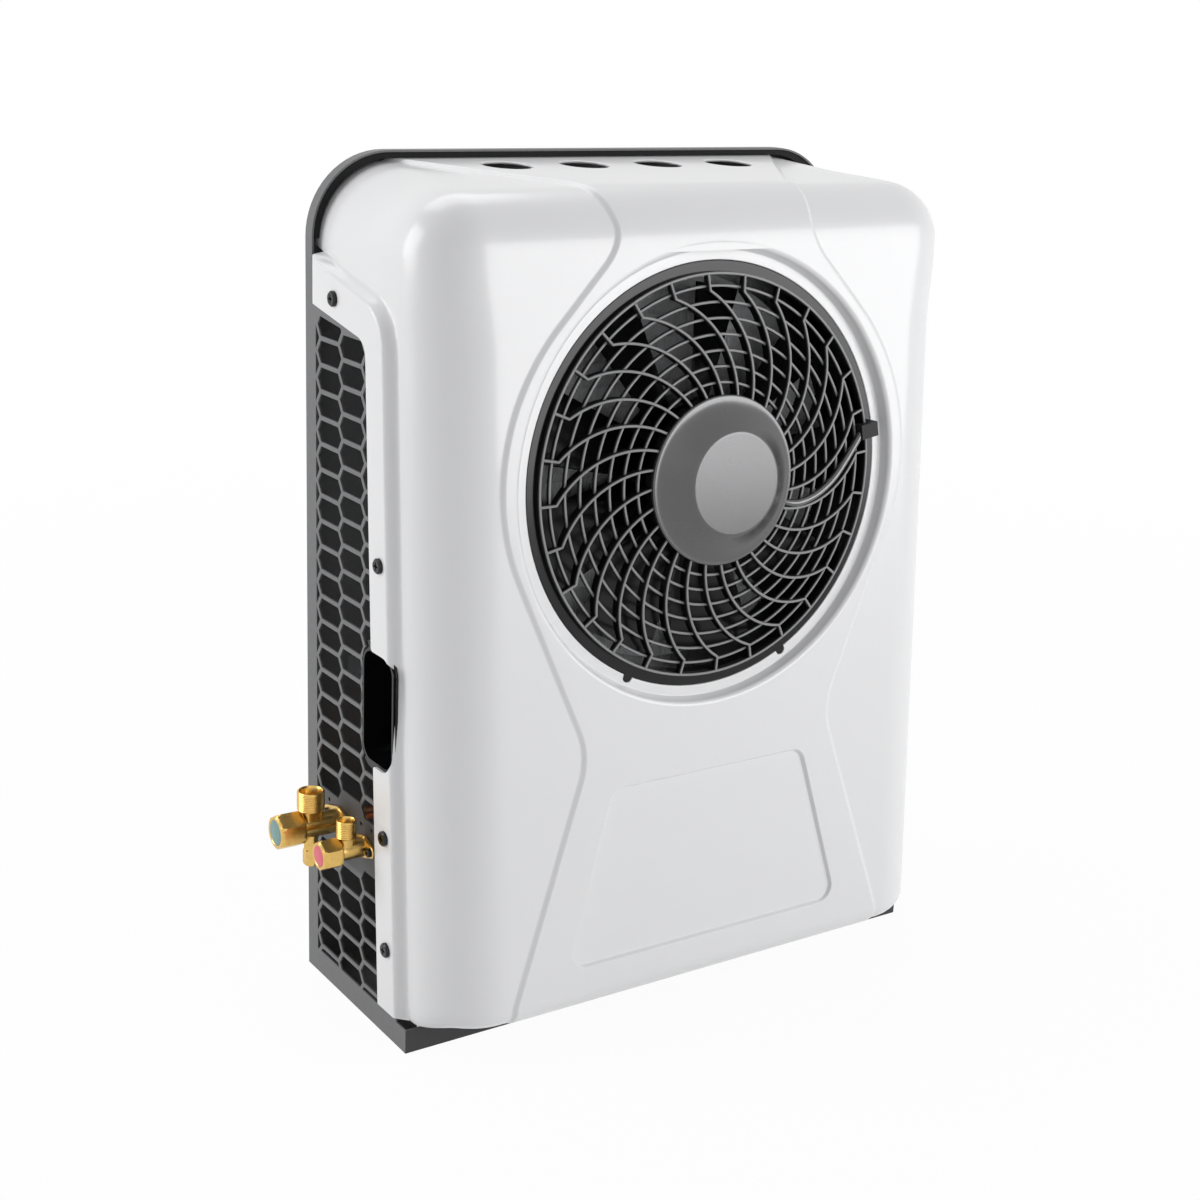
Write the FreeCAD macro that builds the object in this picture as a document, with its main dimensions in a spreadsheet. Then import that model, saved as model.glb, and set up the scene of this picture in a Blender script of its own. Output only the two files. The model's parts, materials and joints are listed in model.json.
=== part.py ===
import FreeCAD, Part
import Sketcher
import math
import os
import re
from FreeCAD import Placement, Rotation, Vector

# Truck cab air conditioner, outdoor unit that hangs behind the cab.
# X runs across the unit, Y from the front face to the back, Z up.
# The origin is the centre of the base underside. Lengths are millimetres, angles are degrees.

doc = FreeCAD.newDocument("TruckCabAirConditioner")

SIZES = [
    # Steel tray
    ("unit_width", 510.0),
    ("unit_height", 680.0),
    ("tray_depth", 175.0),
    ("sheet_gauge", 1.5),
    ("lip_height", 20.0),
    ("lip_return", 10.0),
    ("rim_depth", 11.5),
    ("rim_radius", 65.0),
    ("rivet_nut_pitch_x", 360.0),
    ("rivet_nut_margin", 70.0),
    ("rivet_nut_bore", 4.0),
    ("rivet_nut_body", 5.5),
    ("rivet_nut_length", 14.0),
    ("rivet_nut_head", 7.5),
    ("rivet_nut_head_height", 1.0),
    # Front cover
    ("front_depth", 227.8),
    ("front_lean", 3.66),
    ("top_fall", 3.44),
    ("cover_width", 496.0),
    ("cover_top_gap", 5.6),
    ("cover_bottom", 24.0),
    ("cover_wall", 2.5),
    ("cover_back_gap", 3.0),
    ("side_radius", 56.0),
    ("brow_radius", 50.0),
    ("shoulder_radius", 62.0),
    ("chin_radius", 20.0),
    ("panel_raise", 2.5),
    ("crease_radius", 192.5),
    ("crease_lift", 5.0),
    ("neck_half_width", 91.5),
    ("neck_radius", 48.0),
    ("neck_above_fan", 210.0),
    ("neck_angle", 7.0),
    ("waist_half_width", 121.5),
    ("waist_radius", 62.0),
    ("waist_below_fan", 221.0),
    ("skirt_angle", 18.0),
    ("brow_crease_radius", 60.0),
    ("brow_crease_angle", 32.0),
    ("brow_crease_above_fan", 285.0),
    ("vent_radius", 20.0),
    ("vent_pitch", 71.6),
    ("vent_from_back", 50.0),
    ("plate_recess_below_fan", 237.8),
    ("plate_recess_bottom", 64.0),
    ("plate_recess_top_half", 94.0),
    ("plate_recess_bottom_half", 136.5),
    ("plate_recess_depth", 3.0),
    ("plate_recess_radius", 13.0),
    # Side flanges of the cover
    ("flange_stand", 9.5),
    ("flange_gauge", 2.5),
    ("gasket_clear", 0.3),
    ("flange_back", 17.5),
    ("flange_from_top", 70.5),
    ("flange_fall", 11.8),
    ("flange_corner_radius", 42.0),
    ("valley_foot", 168.0),
    ("valley_slope", 3.07),
    ("window_from_top", 113.5),
    ("window_fall", 10.0),
    ("window_front", 105.5),
    ("window_foot", 131.9),
    ("window_slope", 2.87),
    ("window_radius", 15.0),
    ("slot_low", 224.5),
    ("slot_high", 317.0),
    ("slot_front", 149.7),
    ("slot_radius", 14.0),
    # Side grilles
    ("cell_pitch_z", 20.59),
    ("cell_flat", 31.36),
    ("cell_slant", 6.84),
    ("cell_web", 3.6),
    ("first_flat", 25.7),
    ("first_row_from_top", 138.75),
    ("grille_strip", 17.5),
    ("grille_from_top", 82.0),
    ("shelf_from_top", 127.0),
    ("grille_base", 21.0),
    ("grille_margin", 9.0),
    ("grille_step", 30.0),
    ("grille_step_radius", 25.0),
    ("grille_head_radius", 20.0),
    ("grille_head_fall", 6.0),
    ("cell_columns", 5),
    ("cell_rows", 28),
    ("cell_least_area", 12.0),
    ("plate_hole_radius", 1.8),
    ("valve_plate_back", 33.0),
    ("valve_plate_front", 127.0),
    ("valve_plate_low", 126.0),
    ("valve_plate_high", 174.0),
    # Hand grips
    ("grip_depth", 28.0),
    ("grip_wall", 2.0),
    ("grip_back", 99.0),
    ("grip_clear", 0.4),
    ("grip_ledge", 6.0),
    ("grip_front_ledge", 3.6),
    # Screws
    ("screw_head_radius", 6.0),
    ("screw_head_height", 3.0),
    ("screw_shank_radius", 2.4),
    ("screw_length", 9.0),
    ("first_screw_from_back", 54.0),
    ("first_screw_from_top", 104.6),
    ("second_screw_up", 387.5),
    ("third_screw_up", 171.3),
    ("fourth_screw_up", 78.0),
    ("screw_set_back", 1.0),
    # Fan
    ("fan_from_top", 235.2),
    ("lip_recess", 9.4),
    ("opening_radius", 168.0),
    ("recess_radius", 177.0),
    ("lip_width", 5.5),
    ("lip_return_depth", 12.0),
    ("guard_radius", 159.3),
    ("guard_bar", 2.2),
    ("guard_rim_height", 4.3),
    ("guard_rise", 12.8),
    ("guard_depth", 9.0),
    ("guard_hub_radius", 64.0),
    ("rib_count", 28),
    ("rib_first_angle", 92.6),
    ("rib_kink_radius", 145.5),
    ("rib_sweep", 28.0),
    ("rib_bow", 79.0),
    ("rib_knee_radius", 1.21),
    ("ring_count", 7),
    ("ring_first", 75.7),
    ("ring_pitch", 12.15),
    ("ring_depth", 3.0),
    ("ring_set_back", 4.0),
    ("cap_radius", 66.9),
    ("cap_face_radius", 40.0),
    ("cap_height", 18.3),
    ("cap_gauge", 1.5),
    ("cap_foot", 4.0),
    ("cap_shoulder", 12.0),
    ("hub_plate", 4.0),
    ("motor_radius", 50.0),
    ("motor_depth", 32.0),
    ("motor_bevel", 3.0),
    ("bearing_radius", 11.0),
    ("bearing_width", 7.0),
    ("bearing_gap", 25.0),
    ("shaft_radius", 4.0),
    ("shaft_clear_radius", 6.0),
    ("shaft_bevel", 0.6),
    ("shaft_length", 58.0),
    ("running_gap", 0.05),
    ("press_gap", 0.02),
    ("blade_count", 9),
    ("blade_tip_radius", 151.0),
    ("blade_twist", 14.0),
    ("blade_pitch_angle", 24.0),
    ("blade_gauge", 2.2),
    ("blade_chord", 66.0),
    ("blade_root_chord", 44.0),
    ("impeller_front", 11.0),
    ("impeller_depth", 35.0),
    ("impeller_web", 11.0),
    ("impeller_hub_radius", 60.0),
    ("impeller_boss_radius", 12.0),
    ("impeller_wall", 2.5),
    ("throat_radius", 156.0),
    ("shroud_wall", 2.5),
    ("shroud_front_radius", 167.4),
    ("shroud_front_set", 0.5),
    ("shroud_mouth", 0.8),
    ("shroud_mouth_depth", 10.0),
    ("shroud_depth", 52.0),
    ("shroud_back_radius", 182.0),
    ("lug_angle", 26.7),
    ("lug_circle", 169.0),
    ("lug_radius", 4.0),
    ("lead_radius", 3.0),
    ("lead_clear", 0.1),
    ("lead_start", 4.0),
    ("clip_width", 12.0),
    ("clip_height", 9.5),
    ("clip_clear", 0.4),
    # Condenser coil
    ("coil_width", 400.0),
    ("coil_height", 356.0),
    ("coil_thickness", 20.0),
    ("header_radius", 10.0),
    ("header_overrun", 14.0),
    ("header_bite", 2.0),
    ("coil_tube_pitch", 17.8),
    ("coil_tube_height", 2.0),
    ("coil_bracket_width", 24.0),
    ("coil_foot_height", 18.0),
    ("shroud_screw_circle", 176.0),
    ("socket_depth", 8.0),
    # Compressor bay
    ("compressor_radius", 52.0),
    ("compressor_below_bridge", 57.0),
    ("compressor_crown", 30.0),
    ("compressor_crown_step", 6.0),
    ("compressor_crown_fall", 3.0),
    ("compressor_shoulder", 5.0),
    ("compressor_shoulder_fall", 12.0),
    ("compressor_dome", 26.0),
    ("compressor_foot_step", 8.0),
    ("compressor_foot_rise", 10.0),
    ("compressor_x", 10.0),
    ("compressor_from_back", 60.0),
    ("deck_height", 22.0),
    ("deck_gauge", 3.0),
    ("deck_length", 136.0),
    ("deck_width", 104.0),
    ("foot_radius", 9.0),
    ("foot_pitch_x", 116.0),
    ("foot_pitch_y", 84.0),
    ("foot_bolt_radius", 3.0),
    ("foot_bolt_flats", 10.0),
    ("foot_bolt_head", 4.0),
    ("accumulator_radius", 22.0),
    ("accumulator_height", 110.0),
    ("accumulator_x", -120.0),
    ("accumulator_foot", 10.0),
    ("accumulator_foot_bevel", 8.0),
    ("accumulator_crown_step", 3.0),
    ("accumulator_crown_fall", 6.0),
    ("clamp_height", 20.0),
    ("clamp_gauge", 2.0),
    ("suction_radius", 6.35),
    ("liquid_radius", 4.76),
    ("pipe_wall", 1.0),
    ("pipe_bend", 14.0),
    ("bridge_below_fan", 212.8),
    ("suction_below_bridge", 30.0),
    ("drier_radius", 14.0),
    ("drier_length", 86.0),
    ("drier_neck", 18.0),
    ("drier_cone", 12.0),
    ("drier_end_step", 4.0),
    ("control_box_width", 150.0),
    ("control_box_height", 130.0),
    ("control_box_depth", 62.0),
    ("control_box_x", 160.0),
    ("control_box_low", 84.0),
    ("control_box_wall", 2.0),
    # Service valves on the left side
    ("valve_flange", 3.0),
    ("valve_inside", 20.0),
    ("valve_socket_wall", 1.6),
    ("valve_collar", 1.5),
    ("valve_thread_step", 1.5),
    ("valve_thread_gap", 5.0),
    ("valve_cap_face", 2.0),
    ("valve_cap_step", 1.0),
    ("stem_shoulder", 1.0),
    ("valve_screw_head", 3.6),
    ("valve_screw_shank", 2.0),
    ("valve_screw_length", 8.0),
    ("large_valve_from_back", 60.0),
    ("large_valve_up", 155.5),
    ("large_valve_reach", 57.0),
    ("large_barrel_radius", 9.5),
    ("large_neck_radius", 7.75),
    ("large_port_radius", 11.1),
    ("large_port_bore", 8.6),
    ("large_port_out", 26.0),
    ("large_port_top", 30.5),
    ("large_port_thread", 16.0),
    ("large_cap_flats", 26.0),
    ("large_cap_length", 22.0),
    ("large_stem_radius", 5.0),
    ("large_screw_pitch", 38.0),
    ("large_ear_radius", 6.0),
    ("small_valve_from_back", 105.0),
    ("small_valve_up", 150.0),
    ("small_valve_reach", 41.0),
    ("small_barrel_radius", 7.8),
    ("small_neck_radius", 6.0),
    ("small_port_radius", 7.94),
    ("small_port_bore", 6.0),
    ("small_port_out", 17.0),
    ("small_port_top", 26.0),
    ("small_port_thread", 14.6),
    ("small_cap_flats", 22.0),
    ("small_cap_length", 17.5),
    ("small_stem_radius", 4.0),
    ("small_screw_pitch", 26.0),
    ("small_ear_radius", 5.0),
    ("service_tube_radius", 5.75),
    ("service_tube_drop", 19.5),
    ("service_bore", 2.5),
    ("service_cap_length", 14.0),
    ("service_cap_face", 3.0),
    ("service_cap_step", 0.6),
    ("service_cap_gap", 1.0),
    ("service_thread_radius", 4.2),
]

sheet = doc.addObject("Spreadsheet::Sheet", "Sizes")
for row, (alias, amount) in enumerate(SIZES, 1):
    sheet.set("A%d" % row, alias)
    sheet.set("B%d" % row, str(amount))
    sheet.setAlias("B%d" % row, alias)
doc.recompute()
ALIASES = {alias for alias, amount in SIZES}


class SheetReader:
    """Reads a size from the sheet by its alias."""

    def __getattr__(self, alias):
        return float(sheet.get(alias))


size = SheetReader()
# How near two values count as the same
NEAR = 1e-3
# Share of a run that a bend without a radius of its own takes at each end
BEND_SHARE = 0.45
# How far the crease's skirt runs on, as a share of the tray's depth
SKIRT_SHARE = 1.6
# Reach of the panel's prism as a share of the height it starts at
PRISM_SHARE = 1.2
# Steps of the domed band that trims the guard's ribs
BAND_STEPS = 4
# Shares of a screw head that its bevel and its driver slots take
HEAD_BEVEL_SHARE = 1 / 3
SLOT_SHARE = 1 / 4
FAN_UP = "(unit_height - fan_from_top)"
# Motor lead as distances from the fan's axis and angles
LEAD_ROUTE = [(42.0, -24.0), (76.0, -20.5), (90.0, -16.6), (105.0, -11.3), (120.0, -5.0),
              (135.0, 2.2), (147.0, 6.8), (154.5, 9.0)]
# Small holes in the left side sheet, as distances from the back face and heights
PLATE_HOLES = [(40.0, 165.5), (97.0, 166.0), (115.0, 167.0)]
parts = []
probe = doc.addObject("App::FeaturePython", "Probe")
probe.addProperty("App::PropertyFloat", "Reading")


def cells(expression):
    """Puts the sheet's name before each alias in an expression."""

    def named(word):
        return "Sizes." + word.group() if word.group() in ALIASES else word.group()

    return re.sub(r"[a-z_]+", named, str(expression))


def value_of(expression):
    """Number that an expression of aliases has now."""
    probe.setExpression("Reading", cells(expression))
    probe.recompute()
    return probe.Reading


def bind(thing, **expressions):
    """Binds properties to expressions of the sheet's cells."""
    for name, expression in expressions.items():
        thing.setExpression(name, cells(expression))


def place(thing, x="0", y="0", z="0", axis=Vector(0, 0, 1), angle="0"):
    """Places an object, each coordinate and the angle bound to the sheet."""
    position = Vector(value_of(x), value_of(y), value_of(z))
    thing.Placement = Placement(position, Rotation(axis, value_of(angle)))
    thing.setExpression("Placement.Base.x", cells(x))
    thing.setExpression("Placement.Base.y", cells(y))
    thing.setExpression("Placement.Base.z", cells(z))
    if angle != "0":
        thing.setExpression("Placement.Rotation.Angle", cells(angle))
    return thing


def keep(thing, label):
    """Names an object as a sub-part that is written out."""
    thing.Label = label
    parts.append(thing)
    return thing


# Bodies with constrained sketches

def origin_plane(body, role):
    """Origin plane of a body, such as XZ_Plane."""
    return next(item for item in body.Origin.OriginFeatures if item.Role == role)


def outline_sketch(body, role, corners):
    """Closed outline of straight edges whose corners are bound to the sheet."""
    sketch = body.newObject("Sketcher::SketchObject", body.Name + "Outline")
    sketch.AttachmentSupport = [(origin_plane(body, role), "")]
    sketch.MapMode = "FlatFace"
    points = [(value_of(across), value_of(along)) for across, along in corners]
    for index, start in enumerate(points):
        end = points[(index + 1) % len(points)]
        sketch.addGeometry(Part.LineSegment(Vector(*start, 0), Vector(*end, 0)), False)
    for index in range(len(points)):
        sketch.addConstraint(Sketcher.Constraint("Coincident", index, 2, (index + 1) % len(points), 1))
    for index, pair in enumerate(corners):
        for kind, expression, now in zip(("DistanceX", "DistanceY"), pair, points[index]):
            rule = sketch.addConstraint(Sketcher.Constraint(kind, -1, 1, index, 1, now))
            sketch.setExpression("Constraints[%d]" % rule, cells(expression))
    return sketch


def turned(label, corners):
    """Turned body: corners are pairs of radius and height about the body's own Z axis."""
    body = keep(doc.addObject("PartDesign::Body", label), label)
    sketch = outline_sketch(body, "XZ_Plane", corners)
    turn = body.newObject("PartDesign::Revolution", label + "Turn")
    turn.Profile = sketch
    turn.ReferenceAxis = (sketch, ["V_Axis"])
    turn.Angle = 360
    return body


def padded(label, role, corners, length, two_sided=False, backward=False):
    """Body of one outline padded to a length."""
    body = keep(doc.addObject("PartDesign::Body", label), label)
    sketch = outline_sketch(body, role, corners)
    pad = body.newObject("PartDesign::Pad", label + "Pad")
    pad.Profile = sketch
    pad.Midplane = two_sided
    pad.Reversed = backward
    bind(pad, Length=length)
    return body


# Shapes made with functions that read the sheet

def feature(label, shape, placement=None):
    """Sub-part whose shape is worked out from the sheet's values."""
    thing = doc.addObject("Part::Feature", label)
    thing.Shape = shape
    if placement is not None:
        thing.Placement = placement
    return keep(thing, label)


def yz(x):
    """Maps a distance from the back face and a height to a point of the plane at x."""
    return lambda depth, height: Vector(x, behind(depth), height)


def xy(z):
    """Maps two coordinates to a point of the level plane at z."""
    return lambda across, along: Vector(across, along, z)


def behind(depth):
    """Y of a point at a distance in front of the back face."""
    return size.tray_depth / 2 - depth


def rounded_face(corners, to_point):
    """Face with straight sides, each corner (a, b, radius) rounded by its radius."""
    count = len(corners)
    entries = []
    exits = []
    middles = []
    for index, (a, b, radius) in enumerate(corners):
        here = Vector(a, b, 0)
        before = Vector(*corners[index - 1][:2], 0) - here
        after = Vector(*corners[(index + 1) % count][:2], 0) - here
        before.normalize()
        after.normalize()
        half = before.getAngle(after) / 2
        if radius <= 0:
            entries.append(here)
            exits.append(here)
            middles.append(None)
            continue
        reach = radius / math.tan(half)
        bisector = before + after
        bisector.normalize()
        entries.append(here + before * reach)
        exits.append(here + after * reach)
        middles.append(here + bisector * (radius / math.sin(half) - radius))
    edges = []
    for index in range(count):
        if middles[index] is not None:
            stations = [to_point(p.x, p.y) for p in (entries[index], middles[index], exits[index])]
            edges.append(Part.Arc(*stations).toShape())
        leave = exits[index]
        arrive = entries[(index + 1) % count]
        if leave.distanceToPoint(arrive) > NEAR:
            ends = [to_point(point.x, point.y) for point in (leave, arrive)]
            edges.append(Part.LineSegment(*ends).toShape())
    return Part.Face(Part.Wire(Part.__sortEdges__(edges)))


def turned_shape(corners):
    """Solid turned about Z from pairs of radius and height."""
    points = [Vector(radius, 0, height) for radius, height in corners]
    face = Part.Face(Part.makePolygon(points + points[:1]))
    return face.revolve(Vector(), Vector(0, 0, 1), 360)


def mirrored(shape):
    """The shape seen in the unit's middle plane."""
    return shape.mirror(Vector(), Vector(1, 0, 0))


def solids_of(shapes):
    """Group of separate solids."""
    return Part.Compound([solid for shape in shapes for solid in shape.Solids])


def joined(shapes):
    """One solid fused from several."""
    return shapes[0].multiFuse(shapes[1:]).removeSplitter()


def hexagon(flats, height, corner_first=False):
    """Hexagonal prism on the level plane, sized across its flats."""
    reach = flats / math.sqrt(3)
    turn = 0 if corner_first else 30
    points = [Vector(reach * math.cos(math.radians(turn + 60 * step)),
                     reach * math.sin(math.radians(turn + 60 * step)), 0) for step in range(7)]
    return Part.Face(Part.makePolygon(points)).extrude(Vector(0, 0, height))


def pointing(shape, direction, position):
    """The shape with its Z axis turned to a direction and its origin moved to a position."""
    copy = shape.copy()
    copy.Placement = Placement(position, Rotation(Vector(0, 0, 1), direction)) * shape.Placement
    return copy


# Front frame: X across, Y up along the leaning front face, Z out of it

def front_frame(up=0.0, out=0.0):
    """Placement on the front face, a distance up it and out of it."""
    lean = math.radians(size.front_lean)
    y = behind(size.front_depth) + up * math.sin(lean) - out * math.cos(lean)
    z = up * math.cos(lean) + out * math.sin(lean)
    return Placement(Vector(0, y, z), Rotation(Vector(1, 0, 0), 90 - size.front_lean))


def fan_up():
    """Distance of the fan's axis up the front face."""
    return size.unit_height - size.fan_from_top


def fan_frame(height=0.0):
    """Placement on the fan's axis, a height out of the plane of the cover's fan lip."""
    return front_frame(fan_up(), height - size.lip_recess)


def on_fan_axis(thing, height="0"):
    """Seats an object on the fan's axis with bound coordinates."""
    out = "(%s - lip_recess)" % height
    y = "tray_depth / 2 - front_depth + %s * sin(front_lean) - %s * cos(front_lean)" % (FAN_UP, out)
    z = "%s * cos(front_lean) + %s * sin(front_lean)" % (FAN_UP, out)
    return place(thing, "0", y, z, Vector(1, 0, 0), "90 - front_lean")


def set_in(shape, placement):
    """Copy of a shape in a frame."""
    copy = shape.copy()
    copy.Placement = placement * shape.Placement
    return copy


# Steel tray

def back_plate():
    """Back sheet with its top corners rounded and a rim turned forward round the arch."""
    half = size.unit_width / 2
    gauge = size.sheet_gauge
    spring_line = size.unit_height - size.rim_radius

    def arch(inset, bottom):
        top = size.unit_height - inset
        reach = half - inset
        radius = size.rim_radius - inset
        corners = [(-reach, bottom, 0), (reach, bottom, 0), (reach, top, radius), (-reach, top, radius)]
        return rounded_face(corners, lambda x, z: Vector(x, behind(0), z))

    sheet_metal = arch(0, 0).extrude(Vector(0, -gauge, 0))
    rim = arch(0, spring_line).extrude(Vector(0, -size.rim_depth, 0))
    rim = rim.cut(arch(gauge, spring_line - gauge).extrude(Vector(0, -size.rim_depth, 0)))
    hole = Part.makeCylinder(size.rivet_nut_body + size.press_gap, 4 * gauge, Vector(0, 0, -2 * gauge))
    holes = [pointing(hole, Vector(0, -1, 0), point) for point in rivet_nut_points()]
    return feature("back_plate", joined([sheet_metal, rim]).cut(Part.Compound(holes)))


def rivet_nut_points():
    """Places of the four threaded inserts on the back face."""
    half = size.rivet_nut_pitch_x / 2
    heights = (size.rivet_nut_margin, size.unit_height - size.rivet_nut_margin)
    return [Vector(x, behind(0), z) for x in (-half, half) for z in heights]


def rivet_nuts():
    """Four threaded inserts whose heads lie on the back face's inner side."""
    gauge = size.sheet_gauge
    head = Part.makeCylinder(size.rivet_nut_head, size.rivet_nut_head_height, Vector(0, 0, gauge))
    barrel = Part.makeCylinder(size.rivet_nut_body, size.rivet_nut_length)
    bore = Part.makeCylinder(size.rivet_nut_bore, size.rivet_nut_length)
    nut = head.fuse(barrel).cut(bore)
    nuts = [pointing(nut, Vector(0, -1, 0), point) for point in rivet_nut_points()]
    return feature("rivet_nuts", solids_of(nuts))


def base_pan():
    """Floor of the tray with a lip across its front and short returns round the corners."""
    half = size.unit_width / 2
    gauge = size.sheet_gauge
    front = behind(size.tray_depth)
    floor = Part.makeBox(2 * (half - gauge), size.tray_depth - gauge, gauge, Vector(gauge - half, front, 0))
    lip = Part.makeBox(2 * half, gauge, size.lip_height, Vector(-half, front, 0))
    side = Part.makeBox(gauge, size.lip_return, size.lip_height, Vector(-half, front, 0))
    return feature("base_pan", joined([floor, lip, side, mirrored(side)]))


# Side grilles

def grille_outline():
    """Corners of a side sheet as distances from the back face and heights."""
    gauge = size.sheet_gauge
    end = size.tray_depth - size.lip_return
    foot = valley_at(size.lip_height) - size.grille_margin
    head = valley_at(shelf_height()) - size.grille_margin
    step = head - size.grille_step
    crown = joggle_at(step) - size.grille_margin
    spring_line = size.unit_height - size.rim_radius
    return [(gauge, 0, 0), (end, 0, 0), (end, size.lip_height, 0), (foot, size.lip_height, 0),
            (head, shelf_height(), size.grille_step_radius), (step, crown, size.grille_step_radius),
            (size.rim_depth, size.unit_height - size.grille_from_top, 0),
            (size.rim_depth, spring_line, 0), (gauge, spring_line, 0)]


def shelf_height():
    """Height of the pierced field's upper edge."""
    return size.unit_height - size.shelf_from_top


def grille_window():
    """Corners of the pierced field."""
    front = valley_at(size.grille_base) - 2 * size.grille_margin
    head = valley_at(shelf_height()) - 2 * size.grille_margin
    return [(size.grille_strip, size.grille_base, 0), (front, size.grille_base, 0),
            (head, shelf_height() - size.grille_head_fall, size.grille_head_radius),
            (size.grille_strip, shelf_height() + size.grille_head_fall, 0)]


def honeycomb_cells(field):
    """Openings between the webs: hexagons longer along the depth, clipped by the field."""
    inset = size.cell_web / 2
    half_flat = size.cell_flat / 2
    column_pitch = size.cell_flat + size.cell_slant
    slope = math.hypot(size.cell_slant, size.cell_pitch_z / 2)
    side = inset * slope / (size.cell_pitch_z / 2)
    rise = size.cell_pitch_z / 2 - inset
    shoulder = half_flat + size.cell_slant * inset / (size.cell_pitch_z / 2) - side
    tip = half_flat + size.cell_slant - side
    outline = [(-tip, 0), (-shoulder, rise), (shoulder, rise), (tip, 0), (shoulder, -rise),
               (-shoulder, -rise)]
    cells_cut = []
    for column in range(-1, int(size.cell_columns) - 1):
        depth = size.first_flat + half_flat + column * column_pitch
        offset = 0.5 if column % 2 == 0 else 1.0
        for row in range(-1, int(size.cell_rows) - 1):
            fall = (row + offset) * size.cell_pitch_z
            height = size.unit_height - size.first_row_from_top - fall
            points = [Vector(0, behind(depth + a), height + b) for a, b in outline]
            cell = Part.Face(Part.makePolygon(points + points[:1]))
            clipped = cell.common(field)
            cells_cut += [(face, depth, height) for face in clipped.Faces
                          if face.Area > size.cell_least_area]
    return cells_cut


def side_grille(label, left):
    """Side sheet pierced by honeycomb openings, with a plain area for the valves on the left."""
    half = size.unit_width / 2
    gauge = size.sheet_gauge
    sheet_metal = rounded_face(grille_outline(), yz(0)).extrude(Vector(gauge, 0, 0))
    field = rounded_face(grille_window(), yz(0))
    cuts = []
    for face, depth, height in honeycomb_cells(field):
        in_plate = (size.valve_plate_back < depth + size.cell_flat / 2
                    and depth < size.valve_plate_front
                    and size.valve_plate_low < height < size.valve_plate_high)
        if not (left and in_plate):
            cuts.append(face.extrude(Vector(gauge, 0, 0)))
    grip_low = size.slot_low - size.grip_wall - size.grip_clear
    grip_high = size.slot_high + size.grip_wall + size.grip_clear
    grip = [(size.grip_back - size.grip_clear, grip_low, size.slot_radius), (size.tray_depth, grip_low, 0),
            (size.tray_depth, grip_high, 0), (size.grip_back - size.grip_clear, grip_high, size.slot_radius)]
    cuts.append(rounded_face(grip, yz(0)).extrude(Vector(gauge, 0, 0)))
    for depth, height in flange_screw_points():
        cuts.append(side_hole(depth, height, size.screw_shank_radius + size.press_gap, gauge))
    if left:
        cuts += [side_hole(depth, height, size.plate_hole_radius, gauge) for depth, height in PLATE_HOLES]
        for valve in (LARGE, SMALL):
            cuts.append(side_hole(valve.depth, valve.height, valve.stub_radius + size.grip_clear, gauge))
            for depth in valve.screw_depths:
                cuts.append(side_hole(depth, valve.height, size.valve_screw_shank + size.press_gap, gauge))
    pierced = sheet_metal.cut(Part.Compound(cuts))
    pierced.translate(Vector(-half, 0, 0))
    return feature(label, pierced if left else mirrored(pierced))


def side_hole(depth, height, radius, length):
    """Cylinder along X at a distance from the back face."""
    return Part.makeCylinder(radius, length, Vector(0, behind(depth), height), Vector(1, 0, 0))


def flange_screw_points():
    """Places of the four screws of one side flange, as distances from the back face and heights."""
    column = [size.second_screw_up, size.third_screw_up, size.fourth_screw_up]
    first = (size.first_screw_from_back, size.unit_height - size.first_screw_from_top)
    return [first] + [((window_at(z) + valley_at(z)) / 2 - size.screw_set_back, z) for z in column]


# Lines of the cover's side, as distances from the back face

def valley_at(height):
    """Valley where the side flange meets the body."""
    return size.valley_foot - (height - size.cover_bottom) * math.tan(math.radians(size.valley_slope))


def window_at(height):
    """Front edge of the side window."""
    return size.window_foot - (height - size.cover_bottom) * math.tan(math.radians(size.window_slope))


def joggle_at(depth):
    """Height of the step that ends the side flange at the top."""
    return size.unit_height - size.flange_from_top - depth * math.tan(math.radians(size.flange_fall))


def window_top_at(depth):
    """Height of the flange's lower edge above the side window."""
    fall = (depth - size.flange_back) * math.tan(math.radians(size.window_fall))
    return size.unit_height - size.window_from_top - fall


# Front cover

def cover_top():
    """Height that the top face reaches above the back face."""
    return size.unit_height - size.cover_top_gap


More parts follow.
